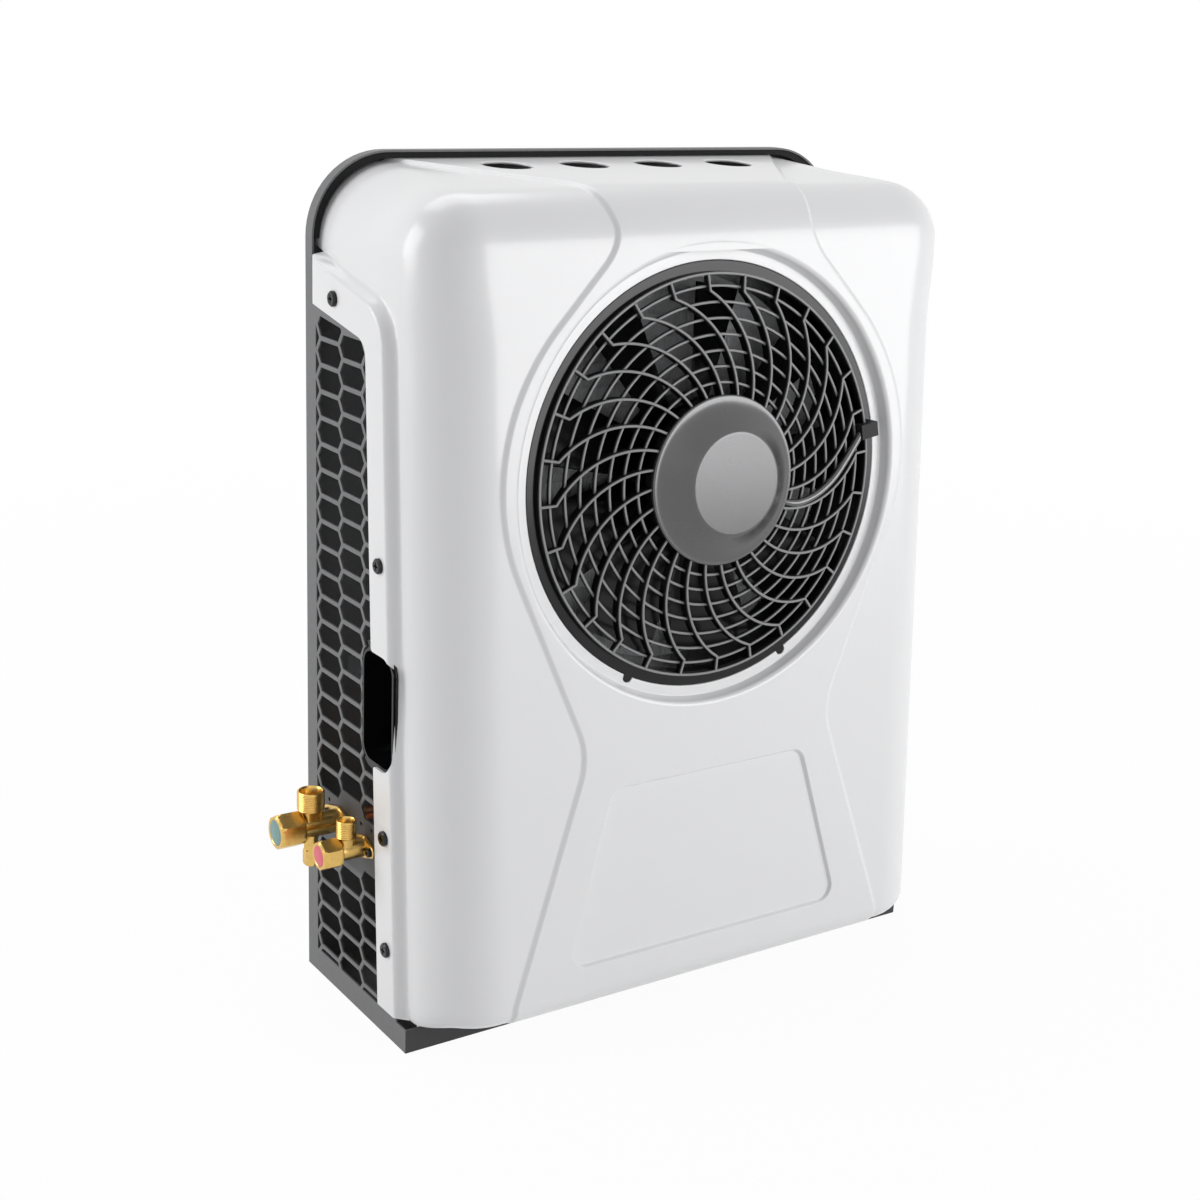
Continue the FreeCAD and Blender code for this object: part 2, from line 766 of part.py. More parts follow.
def cover_block(inset, raised, back_reach=0.0):
    """Solid block under the cover's face, inset from it, at the raised panel's level or the lower one."""
    lean = math.tan(math.radians(size.front_lean))
    fall = math.tan(math.radians(size.top_fall))
    drop = inset + (0 if raised else size.panel_raise)
    half = size.cover_width / 2 - inset
    front = behind(size.front_depth) + drop / math.cos(math.radians(size.front_lean))
    top = cover_top() - drop / math.cos(math.radians(size.top_fall))
    low = size.cover_bottom + inset
    rear = behind(size.cover_back_gap) + back_reach
    meet = (top - (behind(0) - front) * fall) / (1 - lean * fall)
    corners = [(rear, low), (front + low * lean, low), (front + meet * lean, meet),
               (rear, top - (behind(0) - rear) * fall)]
    points = [Vector(-half, y, z) for y, z in corners]
    block = Part.Face(Part.makePolygon(points + points[:1])).extrude(Vector(2 * half, 0, 0))
    seed = doc.addObject("Part::Feature", "CoverSeed")
    seed.Shape = block
    rounded = doc.addObject("Part::Fillet", "CoverRounding")
    rounded.Base = seed
    radii = []
    for index, edge in enumerate(block.Edges, 1):
        middle = edge.valueAt((edge.FirstParameter + edge.LastParameter) / 2)
        at_side = abs(abs(middle.x) - half) < NEAR
        along_top = abs(middle.z - (top - (behind(0) - middle.y) * fall)) < NEAR
        along_front = abs(middle.y - (front + middle.z * lean)) < NEAR
        if at_side and along_front and not along_top:
            radii.append((index, size.side_radius - inset, size.side_radius - inset))
        elif at_side and along_top and not along_front:
            radii.append((index, size.shoulder_radius - inset, size.shoulder_radius - inset))
        elif along_top and along_front:
            radii.append((index, size.brow_radius - drop, size.brow_radius - drop))
    rounded.Edges = radii
    doc.recompute()
    shape = rounded.Shape.copy()
    doc.removeObject(rounded.Name)
    doc.removeObject(seed.Name)
    chin = [edge for edge in shape.Edges
            if edge.BoundBox.ZMax < low + NEAR and edge.BoundBox.YMin < rear - size.cover_wall]
    return shape.makeFillet(size.chin_radius - inset, chin)


def crease_path():
    """Left half of the raised panel's outline, from the top to the foot, in x and the sum of y and z."""
    lean = math.radians(size.front_lean)
    fan = front_frame(fan_up(), 0).Base
    level = fan.y + fan.z
    ring = Vector(0, level + size.crease_lift, 0)
    neck = Vector(-size.neck_half_width - size.neck_radius, level + size.neck_above_fan, 0)
    waist = Vector(-size.waist_half_width - size.waist_radius, level - size.waist_below_fan, 0)
    ring_neck = crossing_tangent(ring, size.crease_radius, neck, size.neck_radius, 1)
    ring_waist = crossing_tangent(ring, size.crease_radius, waist, size.waist_radius, -1)
    leave = math.radians(size.neck_angle)
    neck_end = neck + Vector(math.cos(leave), math.sin(leave), 0) * size.neck_radius
    brow_level = level + size.brow_crease_above_fan
    brow = neck_end + Vector(-math.tan(leave), 1, 0) * (brow_level - neck_end.y)
    sweep = math.radians(size.brow_crease_angle)
    far = brow + Vector(-math.sin(sweep), math.cos(sweep), 0) * size.tray_depth
    skirt = math.radians(size.skirt_angle)
    waist_end = waist + Vector(math.cos(skirt), -math.sin(skirt), 0) * size.waist_radius
    foot = waist_end + Vector(-math.sin(skirt), -math.cos(skirt), 0) * size.tray_depth * SKIRT_SHARE
    reach = size.brow_crease_radius * math.tan((sweep - leave) / 2)
    brow_in = brow + Vector(-math.sin(sweep), math.cos(sweep), 0) * reach
    brow_out = brow + Vector(math.sin(leave), -math.cos(leave), 0) * reach
    middle_angle = (sweep + leave) / 2
    centre = brow_out - Vector(math.cos(leave), math.sin(leave), 0) * size.brow_crease_radius
    bulge = centre + Vector(math.cos(middle_angle), math.sin(middle_angle), 0) * size.brow_crease_radius
    return [("line", far, brow_in), ("arc", brow_in, bulge, brow_out), ("line", brow_out, neck_end),
            arc_step(neck, size.neck_radius, neck_end, ring_neck[1]),
            ("line", ring_neck[1], ring_neck[0]),
            arc_step(ring, size.crease_radius, ring_neck[0], ring_waist[0]),
            ("line", ring_waist[0], ring_waist[1]),
            arc_step(waist, size.waist_radius, ring_waist[1], waist_end), ("line", waist_end, foot)]


def crossing_tangent(first, first_radius, second, second_radius, side):
    """Ends of the tangent that crosses between two circles, on the first and on the second."""
    between = second - first
    lean = math.acos((first_radius + second_radius) / between.Length)
    angle = math.atan2(between.y, between.x) + side * lean
    normal = Vector(math.cos(angle), math.sin(angle), 0)
    return first + normal * first_radius, second - normal * second_radius


def arc_step(centre, radius, start, end):
    """Arc about a centre by the shorter way, as start, middle and end."""
    middle = (start - centre) + (end - centre)
    middle.normalize()
    return "arc", start, centre + middle * radius, end


def crease_prism(inset):
    """Prism along the line halfway between the top and the front, which marks out the raised panel."""
    roof = 2 * size.unit_height

    def on_roof(point, side):
        return Vector(side * point.x, point.y - roof, roof)

    edges = []
    steps = crease_path()
    for side in (1, -1):
        for kind, *points in steps:
            stations = [on_roof(point, side) for point in points]
            shape = Part.LineSegment(*stations) if kind == "line" else Part.Arc(*stations)
            edges.append(shape.toShape())
    for point in (steps[0][1], steps[-1][-1]):
        edges.append(Part.LineSegment(on_roof(point, 1), on_roof(point, -1)).toShape())
    face = Part.Face(Part.Wire(Part.__sortEdges__(edges)))
    if inset:
        face = face.makeOffset2D(-inset).Faces[0]
    return face.extrude(Vector(0, roof, -roof) * PRISM_SHARE)


def side_prism(corners, x_from, x_to):
    """Prism along X of an outline given by distances from the back face and heights."""
    return rounded_face(corners, yz(x_from)).extrude(Vector(x_to - x_from, 0, 0))


def flange_field(inset, back):
    """Corners of the field of one side flange, behind the valley and under the step."""
    depth = valley_at(size.unit_height - size.flange_from_top)
    for step in range(20):
        depth = valley_at(joggle_at(depth))
    low = size.cover_bottom - 2 * inset
    corner = (depth - inset, joggle_at(depth - inset) - inset, size.flange_corner_radius - inset)
    return [(back, joggle_at(back) - inset, 0), corner, (valley_at(low) - inset, low, 0), (back, low, 0)]


def window_field():
    """Corners of the opening in one side flange, open at the back and the foot."""
    low = -size.lip_height
    head = window_top_at(size.window_front)
    return [(-size.lip_height, window_top_at(0), 0), (size.window_front, head, size.window_radius),
            (window_at(low), low, 0), (-size.lip_height, low, 0)]


def grip_slot(clearance=0.0):
    """Corners of the notch that leaves the hand grip open."""
    low = size.slot_low - clearance
    high = size.slot_high + clearance
    front = size.slot_front + clearance
    return [(size.window_front, low, 0), (front, low, size.slot_radius), (front, high, size.slot_radius),
            (size.window_front, high, 0)]


def front_cover():
    """Moulded cover with its raised panel, fan recess, plate recess, vents and side flanges."""
    wall = size.cover_wall
    half = size.cover_width / 2
    outside = half + size.flange_stand
    outer = joined([cover_block(0, False), cover_block(0, True).common(crease_prism(0))])
    inner = joined([cover_block(wall, False, 2 * wall),
                    cover_block(wall, True, 2 * wall).common(crease_prism(wall))])
    flange = side_prism(flange_field(0, size.flange_back), -half + wall / 2, -outside)
    pocket = side_prism(flange_field(wall, -wall), -half + 2 * wall, size.flange_gauge - outside)
    window = side_prism(window_field(), -half, -outside - wall)
    slot = side_prism(grip_slot(), -half, -outside - wall)
    holes = [side_hole(depth, height, size.screw_shank_radius + size.grip_clear, 4 * wall)
             for depth, height in flange_screw_points()]
    for hole in holes:
        hole.translate(Vector(-outside - wall, 0, 0))
    one_side = [pocket, window, slot] + holes
    liner = turned_shape([(size.opening_radius - wall, -size.lip_return_depth),
                          (size.opening_radius + wall, -size.lip_return_depth),
                          (size.opening_radius + wall, -wall),
                          (size.opening_radius + size.lip_width + wall, -wall),
                          (size.recess_radius + wall, size.lip_recess - wall / 2),
                          (size.opening_radius - wall, size.lip_recess - wall / 2)])
    slant = (size.recess_radius - size.opening_radius - size.lip_width) / size.lip_recess
    recess = turned_shape([(0, -2 * size.lip_return_depth), (size.opening_radius, -2 * size.lip_return_depth),
                           (size.opening_radius, 0), (size.opening_radius + size.lip_width, 0),
                           (size.recess_radius + slant * wall, size.lip_recess + wall),
                           (0, size.lip_recess + wall)])
    boss = plate_recess(wall, -size.plate_recess_depth - wall, -wall / 2)
    dent = plate_recess(0, -size.plate_recess_depth, wall)
    body = joined([outer, flange, mirrored(flange)]).cut(Part.Compound([inner]))
    body = joined([body, set_in(boss, front_frame()), set_in(liner, fan_frame())])
    cuts = one_side + [mirrored(cut) for cut in one_side]
    cuts += [set_in(dent, front_frame()), set_in(recess, fan_frame())]
    notch = size.lug_radius + size.grip_clear
    cuts += [set_in(Part.makeCylinder(notch, size.lip_return_depth, point), fan_frame())
             for point in lug_points(wall / 2 - size.lip_return_depth)]
    vent_foot = cover_top() - size.brow_radius / 2
    cuts += [Part.makeCylinder(size.vent_radius, size.brow_radius, in_bay(x, size.vent_from_back, vent_foot))
             for x in vent_positions()]
    cuts.append(Part.makeBox(2 * half - 2 * wall, 2 * size.tray_depth, 2 * wall + size.cover_bottom,
                             Vector(wall - half, behind(size.tray_depth) - wall / 2, 0)))
    for cut in cuts:
        body = body.cut(cut)
    left_side = Part.makeBox(size.unit_width, 2 * size.unit_width, 2 * size.unit_height,
                             Vector(-size.unit_width, -size.unit_width, -size.unit_height / 2))
    left = body.common(left_side)
    return feature("front_cover", joined([left, mirrored(left)]))


def vent_positions():
    """Places across the unit of the four round vents in the top."""
    return [(step - 1.5) * size.vent_pitch for step in range(4)]


def plate_recess(grow, back, front):
    """Trapezoid prism of the recess for the rating plate, in the front frame."""
    top = fan_up() - size.plate_recess_below_fan + grow
    bottom = size.plate_recess_bottom - grow
    top_half = size.plate_recess_top_half + grow
    bottom_half = size.plate_recess_bottom_half + grow
    radius = size.plate_recess_radius + grow
    face = rounded_face([(-bottom_half, bottom, radius), (bottom_half, bottom, radius),
                         (top_half, top, radius), (-top_half, top, radius)], xy(back))
    return face.extrude(Vector(0, 0, front - back))


def pan_screw(head_radius, head_height, shank_radius, length):
    """Pan head screw along Z, its head above the origin and its shank below, with a driver recess."""
    bevel = head_height * HEAD_BEVEL_SHARE
    slot = head_radius * SLOT_SHARE
    profile = [(0, -length), (shank_radius, -length), (shank_radius, 0), (head_radius, 0),
               (head_radius, head_height - bevel), (head_radius - bevel, head_height), (0, head_height)]
    drive = Part.makeBox(head_radius, slot, head_height / 2,
                         Vector(-head_radius / 2, -slot / 2, head_height / 2))
    cross = drive.copy()
    cross.rotate(Vector(), Vector(0, 0, 1), 90)
    return turned_shape(profile).cut(Part.Compound([drive])).cut(cross)


def cover_screws():
    """Eight pan head screws that hold the cover's flanges on the side sheets."""
    screw = pan_screw(size.screw_head_radius, size.screw_head_height, size.screw_shank_radius,
                      size.screw_length)
    outside = size.cover_width / 2 + size.flange_stand
    left = [pointing(screw, Vector(-1, 0, 0), Vector(-outside, behind(depth), height))
            for depth, height in flange_screw_points()]
    return feature("cover_screws", solids_of(left + [mirrored(one) for one in left]))


def rim_gasket():
    """Soft strip between the rim of the back plate and the cover."""
    half = size.unit_width / 2 - size.sheet_gauge
    inner_half = size.cover_width / 2 + size.gasket_clear
    low = size.unit_height - size.rim_radius
    top = size.unit_height - size.sheet_gauge
    depth = size.rim_depth - 2 * size.sheet_gauge

    def arch(reach, crown, radius, bottom):
        corners = [(-reach, bottom, 0), (reach, bottom, 0), (reach, crown, radius), (-reach, crown, radius)]
        face = rounded_face(corners, lambda x, z: Vector(x, behind(size.sheet_gauge), z))
        return face.extrude(Vector(0, -depth, 0))

    outer = arch(half, top, size.rim_radius - size.sheet_gauge, low)
    fall = math.tan(math.radians(size.top_fall)) * size.cover_back_gap
    inner = arch(inner_half, cover_top() - fall - size.panel_raise + size.gasket_clear,
                 size.shoulder_radius + size.gasket_clear, low - size.sheet_gauge)
    raised = cover_block(-size.gasket_clear, True, size.gasket_clear)
    return feature("rim_gasket", outer.cut(inner).cut(raised))


def grip_pocket(label, left):
    """Black tub in the notch of a side sheet, open outwards, with a ledge behind the sheet."""
    half = size.unit_width / 2
    wall = size.grip_wall
    gauge = size.sheet_gauge

    def tub(grow, front_grow):
        low = size.slot_low + size.grip_wall - grow
        high = size.slot_high - size.grip_wall + grow
        back = size.grip_back + size.grip_wall - grow
        front = size.slot_front - size.grip_clear - size.grip_wall + front_grow
        radius = size.slot_radius - size.grip_wall + grow
        return [(back, low, radius), (front, low, radius), (front, high, radius), (back, high, radius)]

    shell = side_prism(tub(wall, wall), -half, size.grip_depth - half)
    ledge = side_prism(tub(wall + size.grip_ledge, size.grip_front_ledge), gauge - half, gauge + wall - half)
    hollow = side_prism(tub(0, 0), -half - wall, size.grip_depth - wall - half)
    body = joined([shell, ledge]).cut(hollow)
    return feature(label, body if left else mirrored(body))


# Fan, everything on the leaning axis through the cover's opening

def lug_points(height):
    """Places of the shroud's two locating lugs in the fan's frame, at a height."""
    points = []
    for side in (-1, 1):
        angle = math.radians(-90 + side * size.lug_angle)
        points.append(Vector(size.lug_circle * math.cos(angle), size.lug_circle * math.sin(angle), height))
    return points


def fan_shroud():
    """Bell mouth round the blades, with its front flange, rear flange and two locating lugs."""
    throat = size.throat_radius
    wall = size.shroud_wall
    front = -size.shroud_front_set
    back = -size.shroud_depth
    mouth = throat + size.shroud_mouth
    neck = front - size.shroud_mouth_depth
    bell = turned_shape([(mouth, front), (size.shroud_front_radius, front),
                         (size.shroud_front_radius, front - wall), (mouth + wall / 2, front - wall),
                         (throat + wall, neck), (throat + wall, back + wall),
                         (size.shroud_back_radius, back + wall), (size.shroud_back_radius, back),
                         (throat, back), (throat, neck)])
    lugs = [Part.makeCylinder(size.lug_radius, wall, point) for point in lug_points(front - wall)]
    holes = [Part.makeCylinder(size.valve_screw_shank + size.press_gap, wall, point)
             for point in shroud_screw_points(-size.shroud_depth)]
    return feature("fan_shroud", set_in(joined([bell] + lugs).cut(Part.Compound(holes)), fan_frame()))


def dome_at(radius):
    """Height of the guard's front edge at a radius, on a shallow sphere."""
    low = size.guard_radius ** 2 - radius ** 2
    high = size.guard_radius ** 2 - size.guard_hub_radius ** 2
    return size.guard_rim_height + size.guard_rise * low / high


def guard_rib():
    """One rib: a radial end outside the kink and a swept arc inside it, as a prism along the axis."""
    bar = size.guard_bar
    kink = size.rib_kink_radius
    reach = size.guard_radius - bar / 2
    sweep = -math.radians(size.rib_sweep)
    start = Vector(kink, 0, 0)
    end = Vector(size.guard_hub_radius * math.cos(sweep), size.guard_hub_radius * math.sin(sweep), 0)
    chord = end - start
    half = chord.Length / 2
    normal = Vector(-chord.y, chord.x, 0)
    normal.normalize()
    middle = (start + end) * 0.5
    centre = middle - normal * math.sqrt(size.rib_bow ** 2 - half ** 2)
    top = middle + normal * (size.rib_bow - (middle - centre).Length)

    def at(point, radius):
        out = point - centre
        out.normalize()
        return centre + out * radius

    outside = [at(point, size.rib_bow + bar / 2) for point in (start, top, end)]
    inside = [at(point, size.rib_bow - bar / 2) for point in (end, top, start)]
    edges = [Part.Arc(*outside).toShape(), Part.LineSegment(outside[2], inside[0]).toShape(),
             Part.Arc(*inside).toShape(), Part.LineSegment(inside[2], outside[0]).toShape()]
    depth = size.guard_rim_height + size.guard_rise + size.guard_depth
    arc_bar = Part.Face(Part.Wire(edges)).extrude(Vector(0, 0, 2 * depth))
    end_bar = Part.makeBox(reach - kink, bar, 2 * depth, Vector(kink, -bar / 2, 0))
    knee = Part.makeCylinder(size.rib_knee_radius, 2 * depth, start)
    rib = joined([arc_bar, end_bar, knee])
    rib.translate(Vector(0, 0, -depth))
    return rib


def guard_band():
    """Domed band that trims the ribs to their height."""
    hub = size.guard_hub_radius - size.guard_bar / 2
    radii = [hub + (size.guard_radius - hub) * step / BAND_STEPS for step in range(BAND_STEPS + 1)]
    front = [(radius, dome_at(radius)) for radius in radii]
    back = [(radius, max(height - size.guard_depth, -size.shroud_front_set))
            for radius, height in reversed(front)]
    return turned_shape(front + back)


def fan_guard():
    """Guard with swept ribs, the rings behind them, a rim and a hub that carries the motor."""
    rib = guard_rib().common(guard_band())
    pieces = []
    pitch = 360.0 / size.rib_count
    for index in range(int(size.rib_count)):
        copy = rib.copy()
        copy.rotate(Vector(), Vector(0, 0, 1), size.rib_first_angle - index * pitch)
        pieces.append(copy)
    for index in range(int(size.ring_count)):
        radius = size.ring_first + index * size.ring_pitch
        top = dome_at(radius) - size.ring_set_back
        edge = size.guard_bar / 2
        foot = top - size.ring_depth
        pieces.append(turned_shape([(radius - edge, foot), (radius + edge, foot), (radius + edge, top),
                                    (radius - edge, top)]))
    seat = -size.shroud_front_set
    pieces.append(turned_shape([(size.guard_radius - size.guard_bar, seat), (size.guard_radius, seat),
                                (size.guard_radius, size.guard_rim_height),
                                (size.guard_radius - size.guard_bar, size.guard_rim_height)]))
    crown = dome_at(size.guard_hub_radius)
    outside = size.guard_hub_radius + size.guard_bar
    hub = [(size.shaft_clear_radius, crown - size.hub_plate), (size.guard_hub_radius, crown - size.hub_plate),
           (size.guard_hub_radius, crown - size.guard_depth), (outside, crown - size.guard_depth),
           (outside, crown), (size.shaft_clear_radius, crown)]
    pieces.append(turned_shape(hub))
    guard = set_in(joined(pieces), fan_frame())
    return feature("fan_guard", guard.cut(lead_tube(size.lead_radius + size.lead_clear)))


def motor_cap():
    """Pressed cap over the guard's hub."""
    height = "guard_rim_height + guard_rise"
    cap = turned("motor_cap", [("0", "cap_height - cap_gauge"),
                               ("cap_face_radius - cap_gauge", "cap_height - cap_gauge"),
                               ("cap_radius - cap_gauge - cap_shoulder", "cap_foot"),
                               ("cap_radius - cap_gauge", "cap_foot"), ("cap_radius - cap_gauge", "0"),
                               ("cap_radius", "0"), ("cap_radius", "cap_foot + cap_gauge"),
                               ("cap_radius - cap_shoulder", "cap_foot + cap_gauge"),
                               ("cap_face_radius + 2 * cap_gauge", "cap_height - 2 * cap_gauge"),
                               ("cap_face_radius", "cap_height"), ("0", "cap_height")])
    return on_fan_axis(cap, height)


def fan_motor():
    """Motor can fastened behind the guard's hub, bored for its two bearings and for its lead."""
    crown = size.guard_rim_height + size.guard_rise - size.hub_plate
    seat = size.bearing_radius + size.press_gap
    clear = size.shaft_clear_radius
    back = -size.motor_depth
    bevel = size.motor_bevel
    width = size.bearing_width
    gap = size.bearing_gap
    can = turned_shape([(seat, back), (size.motor_radius - bevel, back), (size.motor_radius, back + bevel),
                        (size.motor_radius, 0), (seat, 0), (seat, -width), (clear, -width), (clear, -gap),
                        (seat, -gap)])
    can = set_in(can, fan_frame(crown))
    return feature("fan_motor", can.cut(lead_tube(size.lead_radius + size.lead_clear)))


def motor_bearings():
    """Two plain bearings of the fan shaft."""
    ring = turned_shape([(size.shaft_radius + size.running_gap, -size.bearing_width),
                         (size.bearing_radius, -size.bearing_width), (size.bearing_radius, 0),
                         (size.shaft_radius + size.running_gap, 0)])
    crown = size.guard_rim_height + size.guard_rise - size.hub_plate
    rings = [set_in(ring, fan_frame(crown)), set_in(ring, fan_frame(crown - size.bearing_gap))]
    return feature("motor_bearings", solids_of(rings))


def fan_shaft():
    """Shaft that runs in the motor's bearings and carries the impeller."""
    shaft = turned("fan_shaft", [("0", "-shaft_length"), ("shaft_radius - shaft_bevel", "-shaft_length"),
                                 ("shaft_radius", "shaft_bevel - shaft_length"),
                                 ("shaft_radius", "-shaft_bevel"),
                                 ("shaft_radius - shaft_bevel", "0"), ("0", "0")])
    return on_fan_axis(shaft, "guard_rim_height + guard_rise - hub_plate - shaft_bevel")


def fan_impeller():
    """Impeller: a cup round the motor, a boss on the shaft and the twisted blades."""
    wall = size.impeller_wall
    outside = size.impeller_hub_radius
    front = -size.impeller_front
    back = front - size.impeller_depth
    web = front - size.impeller_web
    boss = size.impeller_boss_radius
    bore = size.shaft_radius + size.press_gap
    cup = turned_shape([(bore, back), (boss, back), (boss, web - wall), (outside - wall, web - wall),
                        (outside - wall, back), (outside, back), (outside, front), (outside - wall, front),
                        (outside - wall, web), (bore, web)])
    middle = (front + back) / 2
    ends = [(outside - wall / 2, size.blade_pitch_angle + size.blade_twist, size.blade_root_chord),
            (size.blade_tip_radius, size.blade_pitch_angle, size.blade_chord)]
    blades = []
    for index in range(int(size.blade_count)):
        sections = []
        for radius, steepness, chord in ends:
            slope = math.radians(steepness)
            along = Vector(0, math.cos(slope), math.sin(slope)) * (chord / 2)
            across = Vector(0, -math.sin(slope), math.cos(slope)) * (size.blade_gauge / 2)
            station = Vector(math.sqrt(radius ** 2 - along.y ** 2), 0, middle)
            corners = [station + along + across, station - along + across, station - along - across,
                       station + along - across]
            sections.append(Part.makePolygon(corners + corners[:1]))
        blade = Part.makeLoft(sections, True, True)
        blade.rotate(Vector(), Vector(0, 0, 1), index * 360.0 / size.blade_count)
        blades.append(blade)
    return feature("fan_impeller", set_in(joined([cup] + blades), fan_frame()))


def ring_face(radius, bore, centre, direction):
    """Round face square to a direction, with a hole if a bore is given."""
    wires = [Part.Wire(Part.makeCircle(amount, centre, direction)) for amount in (radius, bore) if amount]
    return Part.makeFace(wires, "Part::FaceMakerBullseye")


def tube(points, radius, bore=0.0, bend=None):
    """Tube along runs joined by tangent bends, as wide as the runs allow unless a radius is given."""
    pieces = []
    leave = points[0]
    for before, here, after in zip(points, points[1:], points[2:]):
        back = before - here
        ahead = after - here
        shorter = min(back.Length, ahead.Length)
        back.normalize()
        ahead.normalize()
        half = back.getAngle(ahead) / 2
        reach = bend / math.tan(half) if bend else BEND_SHARE * shorter
        inward = back + ahead
        inward.normalize()
        start = here + back * reach
        centre = here + inward * (reach / math.cos(half))
        pieces.append(ring_face(radius, bore, leave, back).extrude(start - leave))
        turn = ring_face(radius, bore, start, back)
        pieces.append(turn.revolve(centre, ahead.cross(back), 180 - 2 * math.degrees(half)))
        leave = here + ahead * reach
    pieces.append(ring_face(radius, bore, leave, points[-1] - leave).extrude(points[-1] - leave))
    return joined(pieces)


def lead_tube(radius):
    """Tube along the motor lead's route over the guard's rings."""
    placement = fan_frame()
    points = []
    for reach, angle in LEAD_ROUTE:
        turn = math.radians(angle)
        height = size.lead_start
        if reach > size.guard_hub_radius:
            height = dome_at(reach) - size.ring_set_back + size.lead_radius + size.lead_clear
        points.append(placement.multVec(Vector(reach * math.cos(turn), reach * math.sin(turn), height)))
    return tube(points, radius)


def motor_lead():
    """Motor lead from the motor along a rib of the guard to the clip on its rim."""
    return feature("motor_lead", lead_tube(size.lead_radius))


def lead_clip():
    """Clip that straddles the guard's rim and takes the end of the motor lead."""
    seat = -size.shroud_front_set
    last_ring = size.ring_first + (size.ring_count - 1) * size.ring_pitch
    inner = last_ring + size.guard_bar / 2 + size.clip_clear
    block = Part.makeBox(size.shroud_front_radius - size.clip_clear - inner, size.clip_width,
                         size.clip_height - seat, Vector(inner, -size.clip_width / 2, seat))
    rim = turned_shape([(size.guard_radius - size.guard_bar - size.clip_clear, seat - 1),
                        (size.guard_radius + size.clip_clear, seat - 1),
                        (size.guard_radius + size.clip_clear, size.guard_rim_height),
                        (size.guard_radius - size.guard_bar - size.clip_clear, size.guard_rim_height)])
    block.rotate(Vector(), Vector(0, 0, 1), LEAD_ROUTE[-1][1])
    placed = set_in(block.cut(rim), fan_frame())
    return feature("lead_clip", placed.cut(lead_tube(size.lead_radius + size.lead_clear)))


# Condenser coil, parallel to the leaning front

def coil_frame():
    """Placement of the coil: its middle on the fan's axis, Z out of the front."""
    return fan_frame(-size.shroud_depth - size.coil_thickness / 2)


def header_end(side, above):
    """Place of one end of a header in the unit's frame."""
    x = side * (size.coil_width / 2 + size.header_radius - size.header_bite)
    reach = size.coil_height / 2 + size.header_overrun
    return coil_frame().multVec(Vector(x, reach if above else -reach, 0))


def coil_levels():
    """Heights of the flat tubes across the coil."""
    count = int(round(size.coil_height / size.coil_tube_pitch))
    return [(step - count / 2) * size.coil_tube_pitch for step in range(count + 1)]


def coil_tubes():
    """Flat tubes between two upright headers that are drilled for their pipes."""
    half = size.coil_width / 2
    height = size.coil_tube_height
    reach = size.header_radius - size.header_bite
    back = size.header_bite - size.coil_thickness / 2
    tubes = [Part.makeBox(2 * (half + reach), height, size.coil_thickness - 2 * size.header_bite,
                          Vector(-half - reach, level - height / 2, back)) for level in coil_levels()]
    length = size.coil_height + 2 * size.header_overrun
    upward = Vector(0, 1, 0)
    feet = [Vector(side * (half + reach), -length / 2, 0) for side in (-1, 1)]
    headers = [Part.makeCylinder(size.header_radius, length, foot, upward) for foot in feet]
    drills = [Part.makeCylinder(size.liquid_radius + size.press_gap, size.socket_depth, foot, upward)
              for foot in feet]
    return feature("coil_tubes", set_in(joined(headers + tubes).cut(Part.Compound(drills)), coil_frame()))


def coil_fins():
    """Fin packs that fill the spaces between the flat tubes."""
    height = size.coil_tube_height
    width = size.coil_width - 2 * size.header_bite
    packs = [Part.makeBox(width, size.coil_tube_pitch - height, size.coil_thickness,
                          Vector(-width / 2, level + height / 2, -size.coil_thickness / 2))
             for level in coil_levels()[:-1]]
    return feature("coil_fins", set_in(solids_of(packs), coil_frame()))


def coil_brackets():
    """Four brackets that hold the ends of the headers off the back sheet."""
    gauge = size.sheet_gauge
    width = size.coil_bracket_width
    wall = behind(gauge)
    up = coil_frame().Rotation.multVec(Vector(0, 1, 0))
    brackets = []
    for above in (False, True):
        end = header_end(1, above)
        level = end.z + (-1 if above else 1) * size.header_overrun / 2
        arm = Part.makeBox(width, wall - end.y + width / 2, gauge,
                           Vector(end.x - width / 2, end.y - width / 2, level))
        rise = size.coil_foot_height
        foot_low = level - rise if above else level
        foot = Part.makeBox(width, gauge, rise, Vector(end.x - width / 2, wall - gauge, foot_low))
        hole = Part.makeCylinder(size.header_radius + size.press_gap, 4 * size.header_overrun,
                                 end - up * 2 * size.header_overrun, up)
        bracket = joined([arm, foot]).cut(hole)
        brackets += [bracket, mirrored(bracket)]
    return feature("coil_brackets", solids_of(brackets))


def shroud_screw_points(height):
    """Places of the four screws of the shroud's rear flange in the fan's frame, at a height."""
    circle = size.shroud_screw_circle / math.sqrt(2)
    return [Vector(x, y, height) for x in (-circle, circle) for y in (-circle, circle)]


def shroud_screws():
    """Four screws that hold the shroud's rear flange on the coil."""
    screw = pan_screw(size.valve_screw_head, size.screw_head_height, size.valve_screw_shank,
                      size.shroud_wall)
    placed = [set_in(screw, fan_frame() * Placement(point, Rotation()))
              for point in shroud_screw_points(size.shroud_wall - size.shroud_depth)]
    return feature("shroud_screws", solids_of(placed))


# Compressor bay behind the lower half of the front

def in_bay(x, from_back, height):
    """Point of the compressor bay."""
    return Vector(x, behind(from_back), height)


def compressor_foot_points():
    """Places of the compressor's four feet on the floor."""
    return [in_bay(size.compressor_x + side * size.foot_pitch_x / 2,
                   size.compressor_from_back + row * size.foot_pitch_y / 2, size.sheet_gauge)
            for side in (-1, 1) for row in (-1, 1)]


